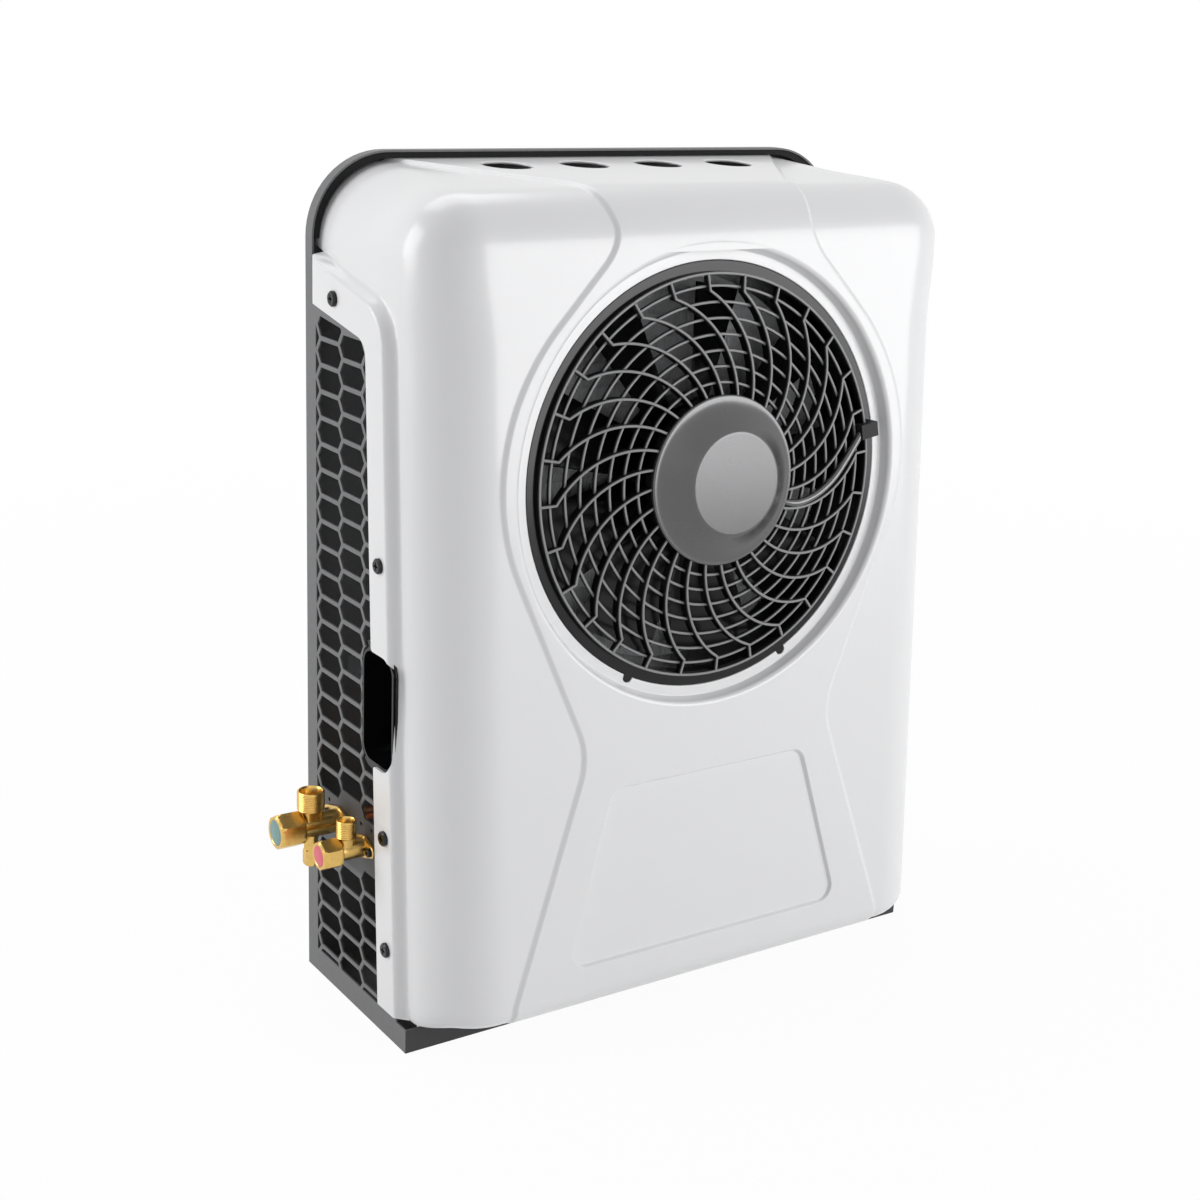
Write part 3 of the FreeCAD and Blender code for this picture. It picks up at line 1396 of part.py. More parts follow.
def compressor():
    """Compressor can with domed ends, drilled for its two pipes."""
    radius = size.compressor_radius
    top = compressor_top() - size.deck_height - size.deck_gauge
    crown = size.compressor_crown
    can = turned_shape([(0, 0), (radius - size.compressor_foot_step, 0), (radius, size.compressor_foot_rise),
                        (radius, top - size.compressor_dome),
                        (radius - size.compressor_shoulder, top - size.compressor_shoulder_fall),
                        (crown + size.compressor_crown_step, top - size.compressor_crown_fall),
                        (crown, top), (0, top)])
    can.translate(in_bay(size.compressor_x, size.compressor_from_back, size.deck_height + size.deck_gauge))
    drills = [Part.makeCylinder(pipe_radius + size.press_gap, size.socket_depth,
                                in_bay(x, size.compressor_from_back, compressor_top() - size.socket_depth))
              for x, pipe_radius in compressor_pipes()]
    return feature("compressor", can.cut(Part.Compound(drills)))


def compressor_top():
    """Height of the compressor's flat crown."""
    return pipe_bridge() - size.compressor_below_bridge


def compressor_pipes():
    """Places across the unit and radii of the suction and discharge pipes."""
    return [(size.compressor_x - size.compressor_crown / 2, size.suction_radius),
            (size.compressor_x + size.compressor_crown / 2, size.liquid_radius)]


def compressor_deck():
    """Plate under the compressor, drilled for the four bolts."""
    corner = in_bay(size.compressor_x - size.deck_length / 2, size.compressor_from_back + size.deck_width / 2,
                    size.deck_height)
    plate = Part.makeBox(size.deck_length, size.deck_width, size.deck_gauge, corner)
    holes = [Part.makeCylinder(size.foot_bolt_radius + size.grip_clear, 2 * size.deck_height, point)
             for point in compressor_foot_points()]
    return feature("compressor_deck", plate.cut(Part.Compound(holes)))


def compressor_feet():
    """Four rubber feet between the floor and the compressor's plate."""
    height = size.deck_height - size.sheet_gauge
    bore = Part.makeCylinder(size.foot_bolt_radius + size.grip_clear, height)
    foot = Part.makeCylinder(size.foot_radius, height).cut(bore)
    feet = [foot.translated(point) for point in compressor_foot_points()]
    return feature("compressor_feet", solids_of(feet))


def compressor_bolts():
    """Four hexagon bolts down through the plate and the rubber feet."""
    length = size.deck_height + size.deck_gauge - size.sheet_gauge
    head = hexagon(size.foot_bolt_flats, size.foot_bolt_head).translated(Vector(0, 0, length))
    bolt = joined([Part.makeCylinder(size.foot_bolt_radius, length), head])
    bolts = [bolt.translated(point) for point in compressor_foot_points()]
    return feature("compressor_bolts", solids_of(bolts))


def accumulator():
    """Upright accumulator drilled on top for the pipes from the valve and to the compressor."""
    radius = size.accumulator_radius
    height = size.accumulator_height
    bevel = size.accumulator_foot_bevel
    can = turned_shape([(0, 0), (radius - bevel, 0), (radius, bevel),
                        (radius, height - size.accumulator_crown_fall),
                        (radius - size.accumulator_crown_step, height), (0, height)])
    can.translate(in_bay(size.accumulator_x, size.large_valve_from_back, size.accumulator_foot))
    drills = [Part.makeCylinder(size.suction_radius + size.press_gap, size.socket_depth,
                                in_bay(x, size.large_valve_from_back, accumulator_top() - size.socket_depth))
              for x in accumulator_pipes()]
    return feature("accumulator", can.cut(Part.Compound(drills)))


def accumulator_top():
    """Height of the accumulator's flat top."""
    return size.accumulator_foot + size.accumulator_height


def accumulator_pipes():
    """Places across the unit of the accumulator's inlet and outlet."""
    half = size.accumulator_radius / 2
    return [size.accumulator_x - half, size.accumulator_x + half]


def accumulator_clamp():
    """Clamp that holds the accumulator off the back sheet."""
    gauge = size.clamp_gauge
    height = size.clamp_height
    radius = size.accumulator_radius
    low = size.accumulator_foot + size.accumulator_height / 2
    centre = in_bay(size.accumulator_x, size.large_valve_from_back, low)
    ring = Part.makeCylinder(radius + gauge, height, centre)
    web = Part.makeBox(gauge, size.large_valve_from_back - radius - size.sheet_gauge, height,
                       centre + Vector(-gauge / 2, radius, 0))
    foot = Part.makeBox(height, gauge, height,
                        in_bay(size.accumulator_x, size.sheet_gauge + gauge, low) - Vector(height / 2, 0, 0))
    return feature("accumulator_clamp", joined([ring, web, foot]).cut(
        Part.makeCylinder(radius + size.press_gap, height, centre)))


def filter_drier():
    """Filter drier in line with the small valve, its neck in the valve's socket."""
    neck = size.liquid_radius
    radius = size.drier_radius
    length = size.drier_length
    start = size.valve_inside - size.socket_depth + size.press_gap
    can = start + size.drier_neck + size.drier_cone
    end = start + length
    shape = turned_shape([(0, start), (neck, start), (neck, start + size.drier_neck), (radius, can),
                          (radius, end - size.drier_cone), (neck + size.drier_end_step, end), (0, end)])
    socket = Part.makeCylinder(neck + size.press_gap, size.socket_depth,
                               Vector(0, 0, end - size.socket_depth))
    return feature("filter_drier", pointing(shape.cut(socket), Vector(1, 0, 0), SMALL.origin()))


def drier_end():
    """X of the drier's inner end."""
    return SMALL.origin().x + size.valve_inside - size.socket_depth + size.press_gap + size.drier_length


def pipe_bridge():
    """Height at which the pipes cross between the bay and the coil."""
    return fan_up() - size.bridge_below_fan


def pipe(label, radius, points):
    """Copper pipe through points of the unit's frame."""
    return feature(label, tube(points, radius, radius - size.pipe_wall, size.pipe_bend))


def suction_pipes():
    """Pipe from the large valve to the accumulator and on to the compressor."""
    depth = size.large_valve_from_back
    inlet, outlet = accumulator_pipes()
    socket = accumulator_top() - size.socket_depth
    bridge = pipe_bridge() - size.suction_below_bridge
    start = LARGE.origin() + Vector(size.valve_inside - size.socket_depth, 0, 0)
    suction_x = compressor_pipes()[0][0]
    runs = [[start, in_bay(inlet, depth, size.large_valve_up), in_bay(inlet, depth, socket)],
            [in_bay(outlet, depth, socket), in_bay(outlet, depth, bridge),
             in_bay(suction_x, size.compressor_from_back, bridge),
             in_bay(suction_x, size.compressor_from_back, compressor_top() - size.socket_depth)]]
    bore = size.suction_radius - size.pipe_wall
    pipes = [tube(points, size.suction_radius, bore, size.pipe_bend) for points in runs]
    return feature("suction_pipes", solids_of(pipes))


def discharge_pipe():
    """Pipe from the compressor to the right header."""
    x = compressor_pipes()[1][0]
    depth = size.compressor_from_back
    bridge = pipe_bridge()
    end = header_end(1, False)
    up = coil_frame().Rotation.multVec(Vector(0, 1, 0))
    inner = end + up * size.socket_depth
    corner = end - up * (end.z - bridge)
    return pipe("discharge_pipe", size.liquid_radius,
                [in_bay(x, depth, compressor_top() - size.socket_depth), in_bay(x, depth, bridge),
                 Vector(end.x, behind(depth), bridge), corner, inner])


def liquid_pipe():
    """Pipe from the left header to the filter drier."""
    end = header_end(-1, False)
    up = coil_frame().Rotation.multVec(Vector(0, 1, 0))
    inner = end + up * size.socket_depth
    corner = end - up * (end.z - pipe_bridge())
    turn = drier_end() + 2 * size.pipe_bend
    depth = size.small_valve_from_back
    halfway = (pipe_bridge() + size.small_valve_up) / 2
    return pipe("liquid_pipe", size.liquid_radius,
                [inner, corner, Vector(turn, corner.y, pipe_bridge()), in_bay(turn, depth, halfway),
                 in_bay(turn, depth, size.small_valve_up),
                 in_bay(drier_end() - size.socket_depth, depth, size.small_valve_up)])


def control_box():
    """Open tray of the control box on the back sheet."""
    width = size.control_box_width
    height = size.control_box_height
    depth = size.control_box_depth
    wall = size.control_box_wall
    corner = in_bay(size.control_box_x - width / 2, size.sheet_gauge + depth, size.control_box_low)
    box = Part.makeBox(width, depth, height, corner)
    hollow = Part.makeBox(width - 2 * wall, depth - wall, height - 2 * wall, corner + Vector(wall, 0, wall))
    return feature("control_box", box.cut(hollow))


def control_box_lid():
    """Lid of the control box."""
    corners = [("-control_box_width / 2", "0"), ("control_box_width / 2", "0"),
               ("control_box_width / 2", "control_box_wall"), ("-control_box_width / 2", "control_box_wall")]
    lid = padded("control_box_lid", "XY_Plane", corners, "control_box_height")
    return place(lid, "control_box_x", "tray_depth / 2 - sheet_gauge - control_box_depth - control_box_wall",
                 "control_box_low")


# Service valves

class ServiceValve:
    """One service valve: its sizes carry its prefix in the sheet."""

    def __init__(self, prefix, pipe_radius):
        self.prefix = prefix
        self.pipe_radius = pipe_radius

    def __getattr__(self, quality):
        return getattr(size, self.prefix + "_" + quality)

    @property
    def depth(self):
        """Distance of the valve's axis in front of the back face."""
        return self.valve_from_back

    @property
    def height(self):
        """Height of the valve's axis."""
        return self.valve_up

    @property
    def stub_radius(self):
        """Radius of the socket inside the side sheet."""
        return self.pipe_radius + size.valve_socket_wall

    @property
    def screw_depths(self):
        """Distances of the two screws in front of the back face."""
        return [self.depth - self.screw_pitch / 2, self.depth + self.screw_pitch / 2]

    @property
    def cap_seat(self):
        """Distance from the side sheet at which the cap begins."""
        return self.valve_reach - self.cap_length

    @property
    def thread_radius(self):
        """Radius of the threaded end under the cap."""
        return self.barrel_radius - size.valve_thread_step

    @property
    def thread_end(self):
        """Distance from the side sheet at which the threaded end stops."""
        return self.valve_reach - size.valve_thread_gap

    def origin(self):
        """Point where the valve's axis meets the outside of the side sheet."""
        return Vector(-size.unit_width / 2, behind(self.depth), self.height)

    def placement(self):
        """Placement whose X points out of the left side and whose Z points up."""
        return Placement(self.origin(), Rotation(Vector(0, 0, 1), 180))


LARGE = ServiceValve("large", size.suction_radius)
SMALL = ServiceValve("small", size.liquid_radius)
OUTWARD = Vector(1, 0, 0)


def along_axis(radius, start, end):
    """Cylinder on a valve's own axis between two distances from the side sheet."""
    return Part.makeCylinder(radius, end - start, Vector(start, 0, 0), OUTWARD)


def valve_body(label, valve, service=False):
    """Brass valve body: flange with two ears, barrel, upward port and inner socket."""
    ear = valve.ear_radius
    half_pitch = valve.screw_pitch / 2
    flange = [Part.makeBox(size.valve_flange, 2 * half_pitch, 2 * ear, Vector(0, -half_pitch, -ear)),
              along_axis(valve.barrel_radius + size.valve_collar, 0, size.valve_flange)]
    for side in (-1, 1):
        flange.append(Part.makeCylinder(ear, size.valve_flange, Vector(0, side * half_pitch, 0), OUTWARD))
    port = Vector(valve.port_out, 0, 0)
    neck = valve.port_top - valve.port_thread
    pieces = flange + [along_axis(valve.barrel_radius, 0, valve.cap_seat),
                       along_axis(valve.thread_radius, valve.cap_seat, valve.thread_end),
                       along_axis(valve.stub_radius, -size.valve_inside, 0),
                       Part.makeCylinder(valve.neck_radius, neck, port),
                       Part.makeCylinder(valve.port_radius, valve.port_thread, port + Vector(0, 0, neck))]
    socket_end = size.socket_depth - size.valve_inside
    bore_foot = port + Vector(0, 0, neck + valve.port_bore / 4)
    cuts = [Part.makeCylinder(valve.port_bore, valve.port_thread, bore_foot),
            Part.makeCylinder(valve.stem_radius - size.stem_shoulder, valve.port_top, port),
            along_axis(valve.stem_radius + size.running_gap, valve.port_out, valve.thread_end),
            along_axis(valve.pipe_radius + size.press_gap, -size.valve_inside, socket_end),
            along_axis(valve.pipe_radius - size.pipe_wall, -size.valve_inside, valve.port_out)]
    for side in (-1, 1):
        cuts.append(Part.makeCylinder(size.valve_screw_shank + size.press_gap, size.valve_flange,
                                      Vector(0, side * half_pitch, 0), OUTWARD))
    if service:
        drop = size.service_tube_drop
        down = Vector(0, 0, -1)
        thread_drop = drop + size.service_cap_length / 2
        pieces.append(Part.makeCylinder(size.service_tube_radius, drop, port, down))
        pieces.append(Part.makeCylinder(size.service_thread_radius, thread_drop, port, down))
        cuts.append(Part.makeCylinder(size.service_bore, drop + size.service_cap_length, port, down))
    return feature(label, set_in(joined(pieces).cut(joined(cuts)), valve.placement()))


def valve_cap(label, valve):
    """Hexagon cap over the threaded end, with a round face."""
    length = valve.cap_length
    face = size.valve_cap_face
    radius = valve.cap_flats / 2 - size.valve_cap_step
    cap = joined([hexagon(valve.cap_flats, length - face),
                  Part.makeCylinder(radius, face, Vector(0, 0, length - face))])
    bore = Part.makeCylinder(valve.thread_radius + size.running_gap, length - 2 * face)
    placed = pointing(cap.cut(bore), OUTWARD, Vector(valve.cap_seat, 0, 0))
    return feature(label, set_in(placed, valve.placement()))


def valve_stem(label, valve):
    """Stem inside the barrel, with a hexagon socket."""
    length = valve.thread_end - valve.port_out - valve.stem_radius
    key = hexagon(valve.stem_radius, length / 2).translated(Vector(0, 0, length / 2))
    stem = Part.makeCylinder(valve.stem_radius, length - size.stem_shoulder).cut(key)
    placed = pointing(stem, OUTWARD, Vector(valve.port_out + valve.stem_radius, 0, 0))
    return feature(label, set_in(placed, valve.placement()))


def service_cap():
    """Cap of the service tube under the large valve."""
    length = size.service_cap_length
    cap = joined([hexagon(2 * size.service_tube_radius, length - size.service_cap_face),
                  Part.makeCylinder(size.service_tube_radius - size.service_cap_step, length)])
    bore = Part.makeCylinder(size.service_thread_radius + size.running_gap,
                             length / 2 + size.service_cap_gap)
    seat = Vector(LARGE.port_out, 0, -size.service_tube_drop)
    placed = pointing(cap.cut(bore), Vector(0, 0, -1), seat)
    return feature("service_cap", set_in(placed, LARGE.placement()))


def valve_screws():
    """Four screws that hold the flanges of the valves."""
    screw = pan_screw(size.valve_screw_head, size.screw_head_height, size.valve_screw_shank,
                      size.valve_screw_length)
    placed = []
    for valve in (LARGE, SMALL):
        for depth in valve.screw_depths:
            point = Vector(-size.unit_width / 2 - size.valve_flange, behind(depth), valve.height)
            placed.append(pointing(screw, Vector(-1, 0, 0), point))
    return feature("valve_screws", solids_of(placed))


back_plate()
rivet_nuts()
base_pan()
side_grille("side_grille_left", True)
side_grille("side_grille_right", False)
rim_gasket()
grip_pocket("grip_pocket_left", True)
grip_pocket("grip_pocket_right", False)
front_cover()
cover_screws()
fan_shroud()
shroud_screws()
fan_guard()
motor_cap()
fan_motor()
motor_bearings()
fan_shaft()
fan_impeller()
motor_lead()
lead_clip()
coil_tubes()
coil_fins()
coil_brackets()
compressor()
compressor_deck()
compressor_feet()
compressor_bolts()
accumulator()
accumulator_clamp()
filter_drier()
suction_pipes()
discharge_pipe()
liquid_pipe()
control_box()
control_box_lid()
valve_body("large_valve_body", LARGE, service=True)
valve_cap("large_valve_cap", LARGE)
valve_stem("large_valve_stem", LARGE)
service_cap()
valve_body("small_valve_body", SMALL)
valve_cap("small_valve_cap", SMALL)
valve_stem("small_valve_stem", SMALL)
valve_screws()

doc.recompute()
for thing in doc.Objects:
    if "Invalid" in thing.State or "Error" in thing.State:
        raise RuntimeError("%s was not computed" % thing.Label)
for thing in parts:
    if thing.Shape.isNull() or not thing.Shape.isValid():
        raise RuntimeError("%s has no valid shape" % thing.Label)

os.makedirs("parts", exist_ok=True)
for thing in parts:
    thing.Shape.exportStep("parts/%s.step" % thing.Label)
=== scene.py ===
"""Looks of a truck cab air conditioner: finishes, fine surface detail, studio light and the photo's camera.

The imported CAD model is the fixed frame. It is shown with the finishes made here, and the pieces whose
surface needs more than the CAD gives are rebuilt as meshes that stand for their CAD nodes.
"""

from __future__ import annotations

import json
import logging
import math
from dataclasses import dataclass, replace
from enum import Enum
from typing import Callable

import bmesh
import bpy
import numpy as np
from mathutils import Matrix, Vector
from mathutils.geometry import delaunay_2d_cdt

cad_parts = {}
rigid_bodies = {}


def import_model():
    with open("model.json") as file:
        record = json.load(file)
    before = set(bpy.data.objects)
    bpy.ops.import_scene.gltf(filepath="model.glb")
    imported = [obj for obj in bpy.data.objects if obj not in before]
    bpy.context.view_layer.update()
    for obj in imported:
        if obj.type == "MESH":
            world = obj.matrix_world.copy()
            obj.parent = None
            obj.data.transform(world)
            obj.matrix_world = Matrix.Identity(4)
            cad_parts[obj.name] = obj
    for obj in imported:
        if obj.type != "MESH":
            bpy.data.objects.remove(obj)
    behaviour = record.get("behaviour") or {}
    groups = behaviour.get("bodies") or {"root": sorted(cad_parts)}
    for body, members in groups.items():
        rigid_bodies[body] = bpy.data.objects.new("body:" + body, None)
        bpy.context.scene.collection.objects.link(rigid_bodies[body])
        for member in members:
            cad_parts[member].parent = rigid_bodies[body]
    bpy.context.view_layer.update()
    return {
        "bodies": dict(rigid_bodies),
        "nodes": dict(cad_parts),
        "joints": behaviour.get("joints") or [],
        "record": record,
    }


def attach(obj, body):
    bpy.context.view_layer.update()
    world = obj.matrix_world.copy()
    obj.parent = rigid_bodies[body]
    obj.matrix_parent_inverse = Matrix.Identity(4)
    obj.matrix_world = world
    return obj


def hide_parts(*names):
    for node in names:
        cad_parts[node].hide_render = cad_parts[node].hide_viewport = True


LOG = logging.getLogger("cab_air_conditioner")
MM = 0.001
FLAT_EDGE = 1e-6
TINY = 1e-12


class Grain(Enum):
    """Kinds of fine surface relief: bumps as of paint, moulding or casting, or the folds of a fin pack."""

    BUMPS = "bumps"
    FINS = "fins"


@dataclass(frozen=True)
class Finish:
    """One finish as the values of a principled surface.

    Args:
        name: Name of the Blender material and of the record's slot it stands for.
        color: Linear base colour.
        roughness: Roughness of the surface.
        metallic: One for bare metal, zero otherwise.
        coat: Weight of a clear coat.
        coat_roughness: Roughness of that coat.
        grain_scale: Size of the fine relief's features, as features per metre.
        grain_depth: Height of the relief in metres.
        grain: Kind of relief.
        mottle: Share by which the base colour varies from place to place.
        second: Linear colour of the painted highlight where a point's share is one, or of the painted shade in the
            band.
        band: Axes and limits between which the second colour shows as painted shade; else each point's share tells
            where.
        soft: Half the width in metres over which the band fades.
        sheen_change: How far the roughness varies from place to place.
        specular: Strength of the mirror image on a surface that isn't metal, a half for most plastics.
    """

    name: str
    color: tuple[float, float, float]
    roughness: float
    metallic: float = 0.0
    coat: float = 0.0
    coat_roughness: float = 0.1
    grain_scale: float = 1000.0
    grain_depth: float = 0.0
    grain: Grain = Grain.BUMPS
    mottle: float = 0.0
    second: tuple[float, float, float] | None = None
    band: tuple[tuple[str, float, float], ...] = ()
    soft: float = 0.002
    sheen_change: float = 0.06
    specular: float = 0.5


POWDER_COAT = Finish("powder_coat", (0.15, 0.151, 0.154), 0.5, grain_scale=1100.0, grain_depth=0.00012,
                     mottle=0.3, specular=0.35)
FINISHES = {finish.name: finish for finish in (
    Finish("white_plastic", (0.78, 0.782, 0.785), 0.32, coat=0.35, coat_roughness=0.12, grain_scale=900.0,
           grain_depth=0.0000015, mottle=0.004, sheen_change=0.012),
    POWDER_COAT,
    # Side sheet's powder coat painted darker in a band round the valves, a painted shade of the lower side.
    replace(POWDER_COAT, name="valve_side_coat", second=(0.07, 0.071, 0.074),
            band=(("Z", 0.122, 0.186), ("Y", -0.3, 0.064))),
    # Tray's powder coat with its front strip painted darker, a painted shade.
    replace(POWDER_COAT, name="tray_coat", second=(0.035, 0.035, 0.036), band=(("Y", -0.3, -0.087),),
            soft=0.0003),
    Finish("black_plastic", (0.005, 0.005, 0.0055), 0.16, grain_scale=500.0, grain_depth=0.000006, mottle=0.2,
           specular=0.3),
    # Guard plastic whose second colour, grey on the front edges of ribs and rings, is a painted highlight.
    Finish("guard_plastic", (0.005, 0.005, 0.0055), 0.36, grain_scale=700.0, grain_depth=0.00001, mottle=0.2,
           second=(0.26, 0.26, 0.262), specular=0.3),
    Finish("hub_paint", (0.12, 0.12, 0.122), 0.27, metallic=0.75, grain_scale=2200.0, grain_depth=0.000008,
           mottle=0.1, sheen_change=0.03),
    Finish("motor_paint", (0.01, 0.01, 0.01), 0.4, grain_scale=900.0, grain_depth=0.00005, mottle=0.2),
    Finish("cable", (0.05, 0.05, 0.052), 0.18, coat=1.0, grain_scale=300.0, grain_depth=0.00002, mottle=0.2),
    Finish("clip_plastic", (0.012, 0.012, 0.013), 0.5, grain_scale=600.0, grain_depth=0.00002, mottle=0.2,
           specular=0.25),
    Finish("foam", (0.022, 0.022, 0.022), 0.7, grain_scale=1500.0, grain_depth=0.0003, mottle=0.4,
           specular=0.1),
    Finish("zinc", (0.40, 0.41, 0.42), 0.38, metallic=1.0, grain_scale=300.0, grain_depth=0.00002, mottle=0.25),
    Finish("aluminium", (0.55, 0.56, 0.57), 0.4, metallic=1.0, grain=Grain.FINS, grain_scale=700.0,
           grain_depth=0.0004, mottle=0.2),
    Finish("copper", (0.7, 0.33, 0.2), 0.35, metallic=1.0, grain_scale=200.0, grain_depth=0.00003, mottle=0.25),
    Finish("compressor_paint", (0.012, 0.012, 0.013), 0.35, grain_scale=300.0, grain_depth=0.00003, mottle=0.2),
    Finish("black_screw", (0.02, 0.02, 0.021), 0.28, metallic=0.6, grain_scale=900.0, grain_depth=0.00002,
           mottle=0.3),
    Finish("brass", (0.71, 0.465, 0.142), 0.27, metallic=1.0, grain_scale=800.0, grain_depth=0.00006,
           mottle=0.35),
    Finish("teal_disc", (0.16, 0.30, 0.28), 0.4, grain_scale=900.0, grain_depth=0.00004, mottle=0.3),
    Finish("red_disc", (0.72, 0.12, 0.17), 0.4, grain_scale=900.0, grain_depth=0.00004, mottle=0.3),
)}


class Socket:
    """Output of a shader node that can be combined with others by arithmetic."""

    def __init__(self, graph: ShaderGraph, output: bpy.types.NodeSocket) -> None:
        """Keeps the output and the graph that it belongs to."""
        self.graph = graph
        self.output = output

    def __add__(self, other: Socket | float) -> Socket:
        """Sum of the two."""
        return self.graph.math("ADD", self, other)

    def __radd__(self, other: float) -> Socket:
        """Sum of a number and this."""
        return self.graph.math("ADD", other, self)

    def __sub__(self, other: Socket | float) -> Socket:
        """This less the other."""
        return self.graph.math("SUBTRACT", self, other)

    def __rsub__(self, other: float) -> Socket:
        """A number less this."""
        return self.graph.math("SUBTRACT", other, self)

    def __mul__(self, other: Socket | float) -> Socket:
        """Product of the two."""
        return self.graph.math("MULTIPLY", self, other)

    def __rmul__(self, other: float) -> Socket:
        """Product of a number and this."""
        return self.graph.math("MULTIPLY", other, self)


class ShaderGraph:
    """Node tree of one material, with one method that makes every node."""

    def __init__(self, name: str) -> None:
        """Starts a new material with its principled surface.

        Args:
            name: Name of the material.
        """
        self.material = bpy.data.materials.new(name)
        self.material.use_nodes = True
        self.tree = self.material.node_tree
        self.surface = self.tree.nodes["Principled BSDF"]

    @classmethod
    def of_tree(cls, tree: bpy.types.NodeTree) -> ShaderGraph:
        """Graph over a node tree that is there already, such as the world's.

        Args:
            tree: The node tree.

        Returns:
            The graph, without a material of its own.
        """
        graph = cls.__new__(cls)
        graph.tree = tree
        return graph

    def node(self, kind: str, output: int | str = 0, settings: dict | None = None, **inputs: object) -> Socket:
        """Makes a node and returns one of its outputs.

        Args:
            kind: Blender's node type.
            output: Index or name of the output that is returned.
            settings: Properties of the node.
            **inputs: Sockets to link or constants to set, by input name with underscores for spaces.

        Returns:
            The chosen output as a socket.
        """
        made = self.tree.nodes.new(kind)
        for name, setting in (settings or {}).items():
            setattr(made, name, setting)
        for name, value in inputs.items():
            key = int(name[1:]) if name[0] == "i" and name[1:].isdigit() else name.replace("_", " ")
            self.put(made.inputs[key], value)
        return Socket(self, made.outputs[output])

    def put(self, target: bpy.types.NodeSocket, value: object) -> None:
        """Links a socket to an input or sets the input to a constant.

        Args:
            target: Input of a node.
            value: Socket or constant.
        """
        if isinstance(value, Socket):
            self.tree.links.new(value.output, target)
        else:
            target.default_value = value

    def math(self, operation: str, first: Socket | float, second: Socket | float = 0.0) -> Socket:
        """One arithmetic step."""
        return self.node("ShaderNodeMath", settings={"operation": operation}, i0=first, i1=second)

    def mix_color(self, factor: Socket | float, first: object, second: object) -> Socket:
        """Colour between two.

        Args:
            factor: Share of the second colour, from nought to one.
            first: First colour.
            second: Second colour.

        Returns:
            The mixed colour.
        """
        made = self.tree.nodes.new("ShaderNodeMix")
        made.data_type = "RGBA"
        for index, value in ((0, factor), (6, first), (7, second)):
            self.put(made.inputs[index], value)
        return Socket(self, made.outputs[2])

    def place(self) -> Socket:
        """Position in the object's own coordinates."""
        return self.node("ShaderNodeTexCoord", "Object")

    def noise(self, scale: float, detail: float = 2.0) -> Socket:
        """Smooth noise of a number of features per metre, from nought to one."""
        return self.node("ShaderNodeTexNoise", "Fac", Vector=self.place(), Scale=scale, Detail=detail)

    def background_seen(self) -> Socket:
        """Tells the rays that see the background.

        Returns:
            One for rays of the camera and for those that were mirrored or passed through glass, else nought.
        """
        seen = [self.node("ShaderNodeLightPath", name)
                for name in ("Is Camera Ray", "Is Glossy Ray", "Is Transmission Ray")]
        return self.math("MINIMUM", seen[0] + seen[1] + seen[2], 1.0)

    def in_band(self, band: tuple[tuple[str, float, float], ...], soft: float) -> Socket:
        """Mask of a painted shade: tells the points whose named coordinates lie between limits.

        Args:
            band: Axis, lower and upper limit in metres, for each coordinate.
            soft: Half the width over which the share falls at a limit.

        Returns:
            One inside the band, nought outside it.
        """
        share: Socket | float = 1.0
        for axis, low, high in band:
            value = self.node("ShaderNodeSeparateXYZ", axis, Vector=self.place())
            rise = self.node("ShaderNodeMapRange", Value=value, From_Min=low - soft, From_Max=low + soft)
            fall = self.node("ShaderNodeMapRange", Value=value, From_Min=high - soft, From_Max=high + soft)
            share = share * (rise - fall)
        return share

    def surface_input(self, name: str, value: object) -> None:
        """Sets or links an input of the principled surface."""
        self.put(self.surface.inputs[name], value)


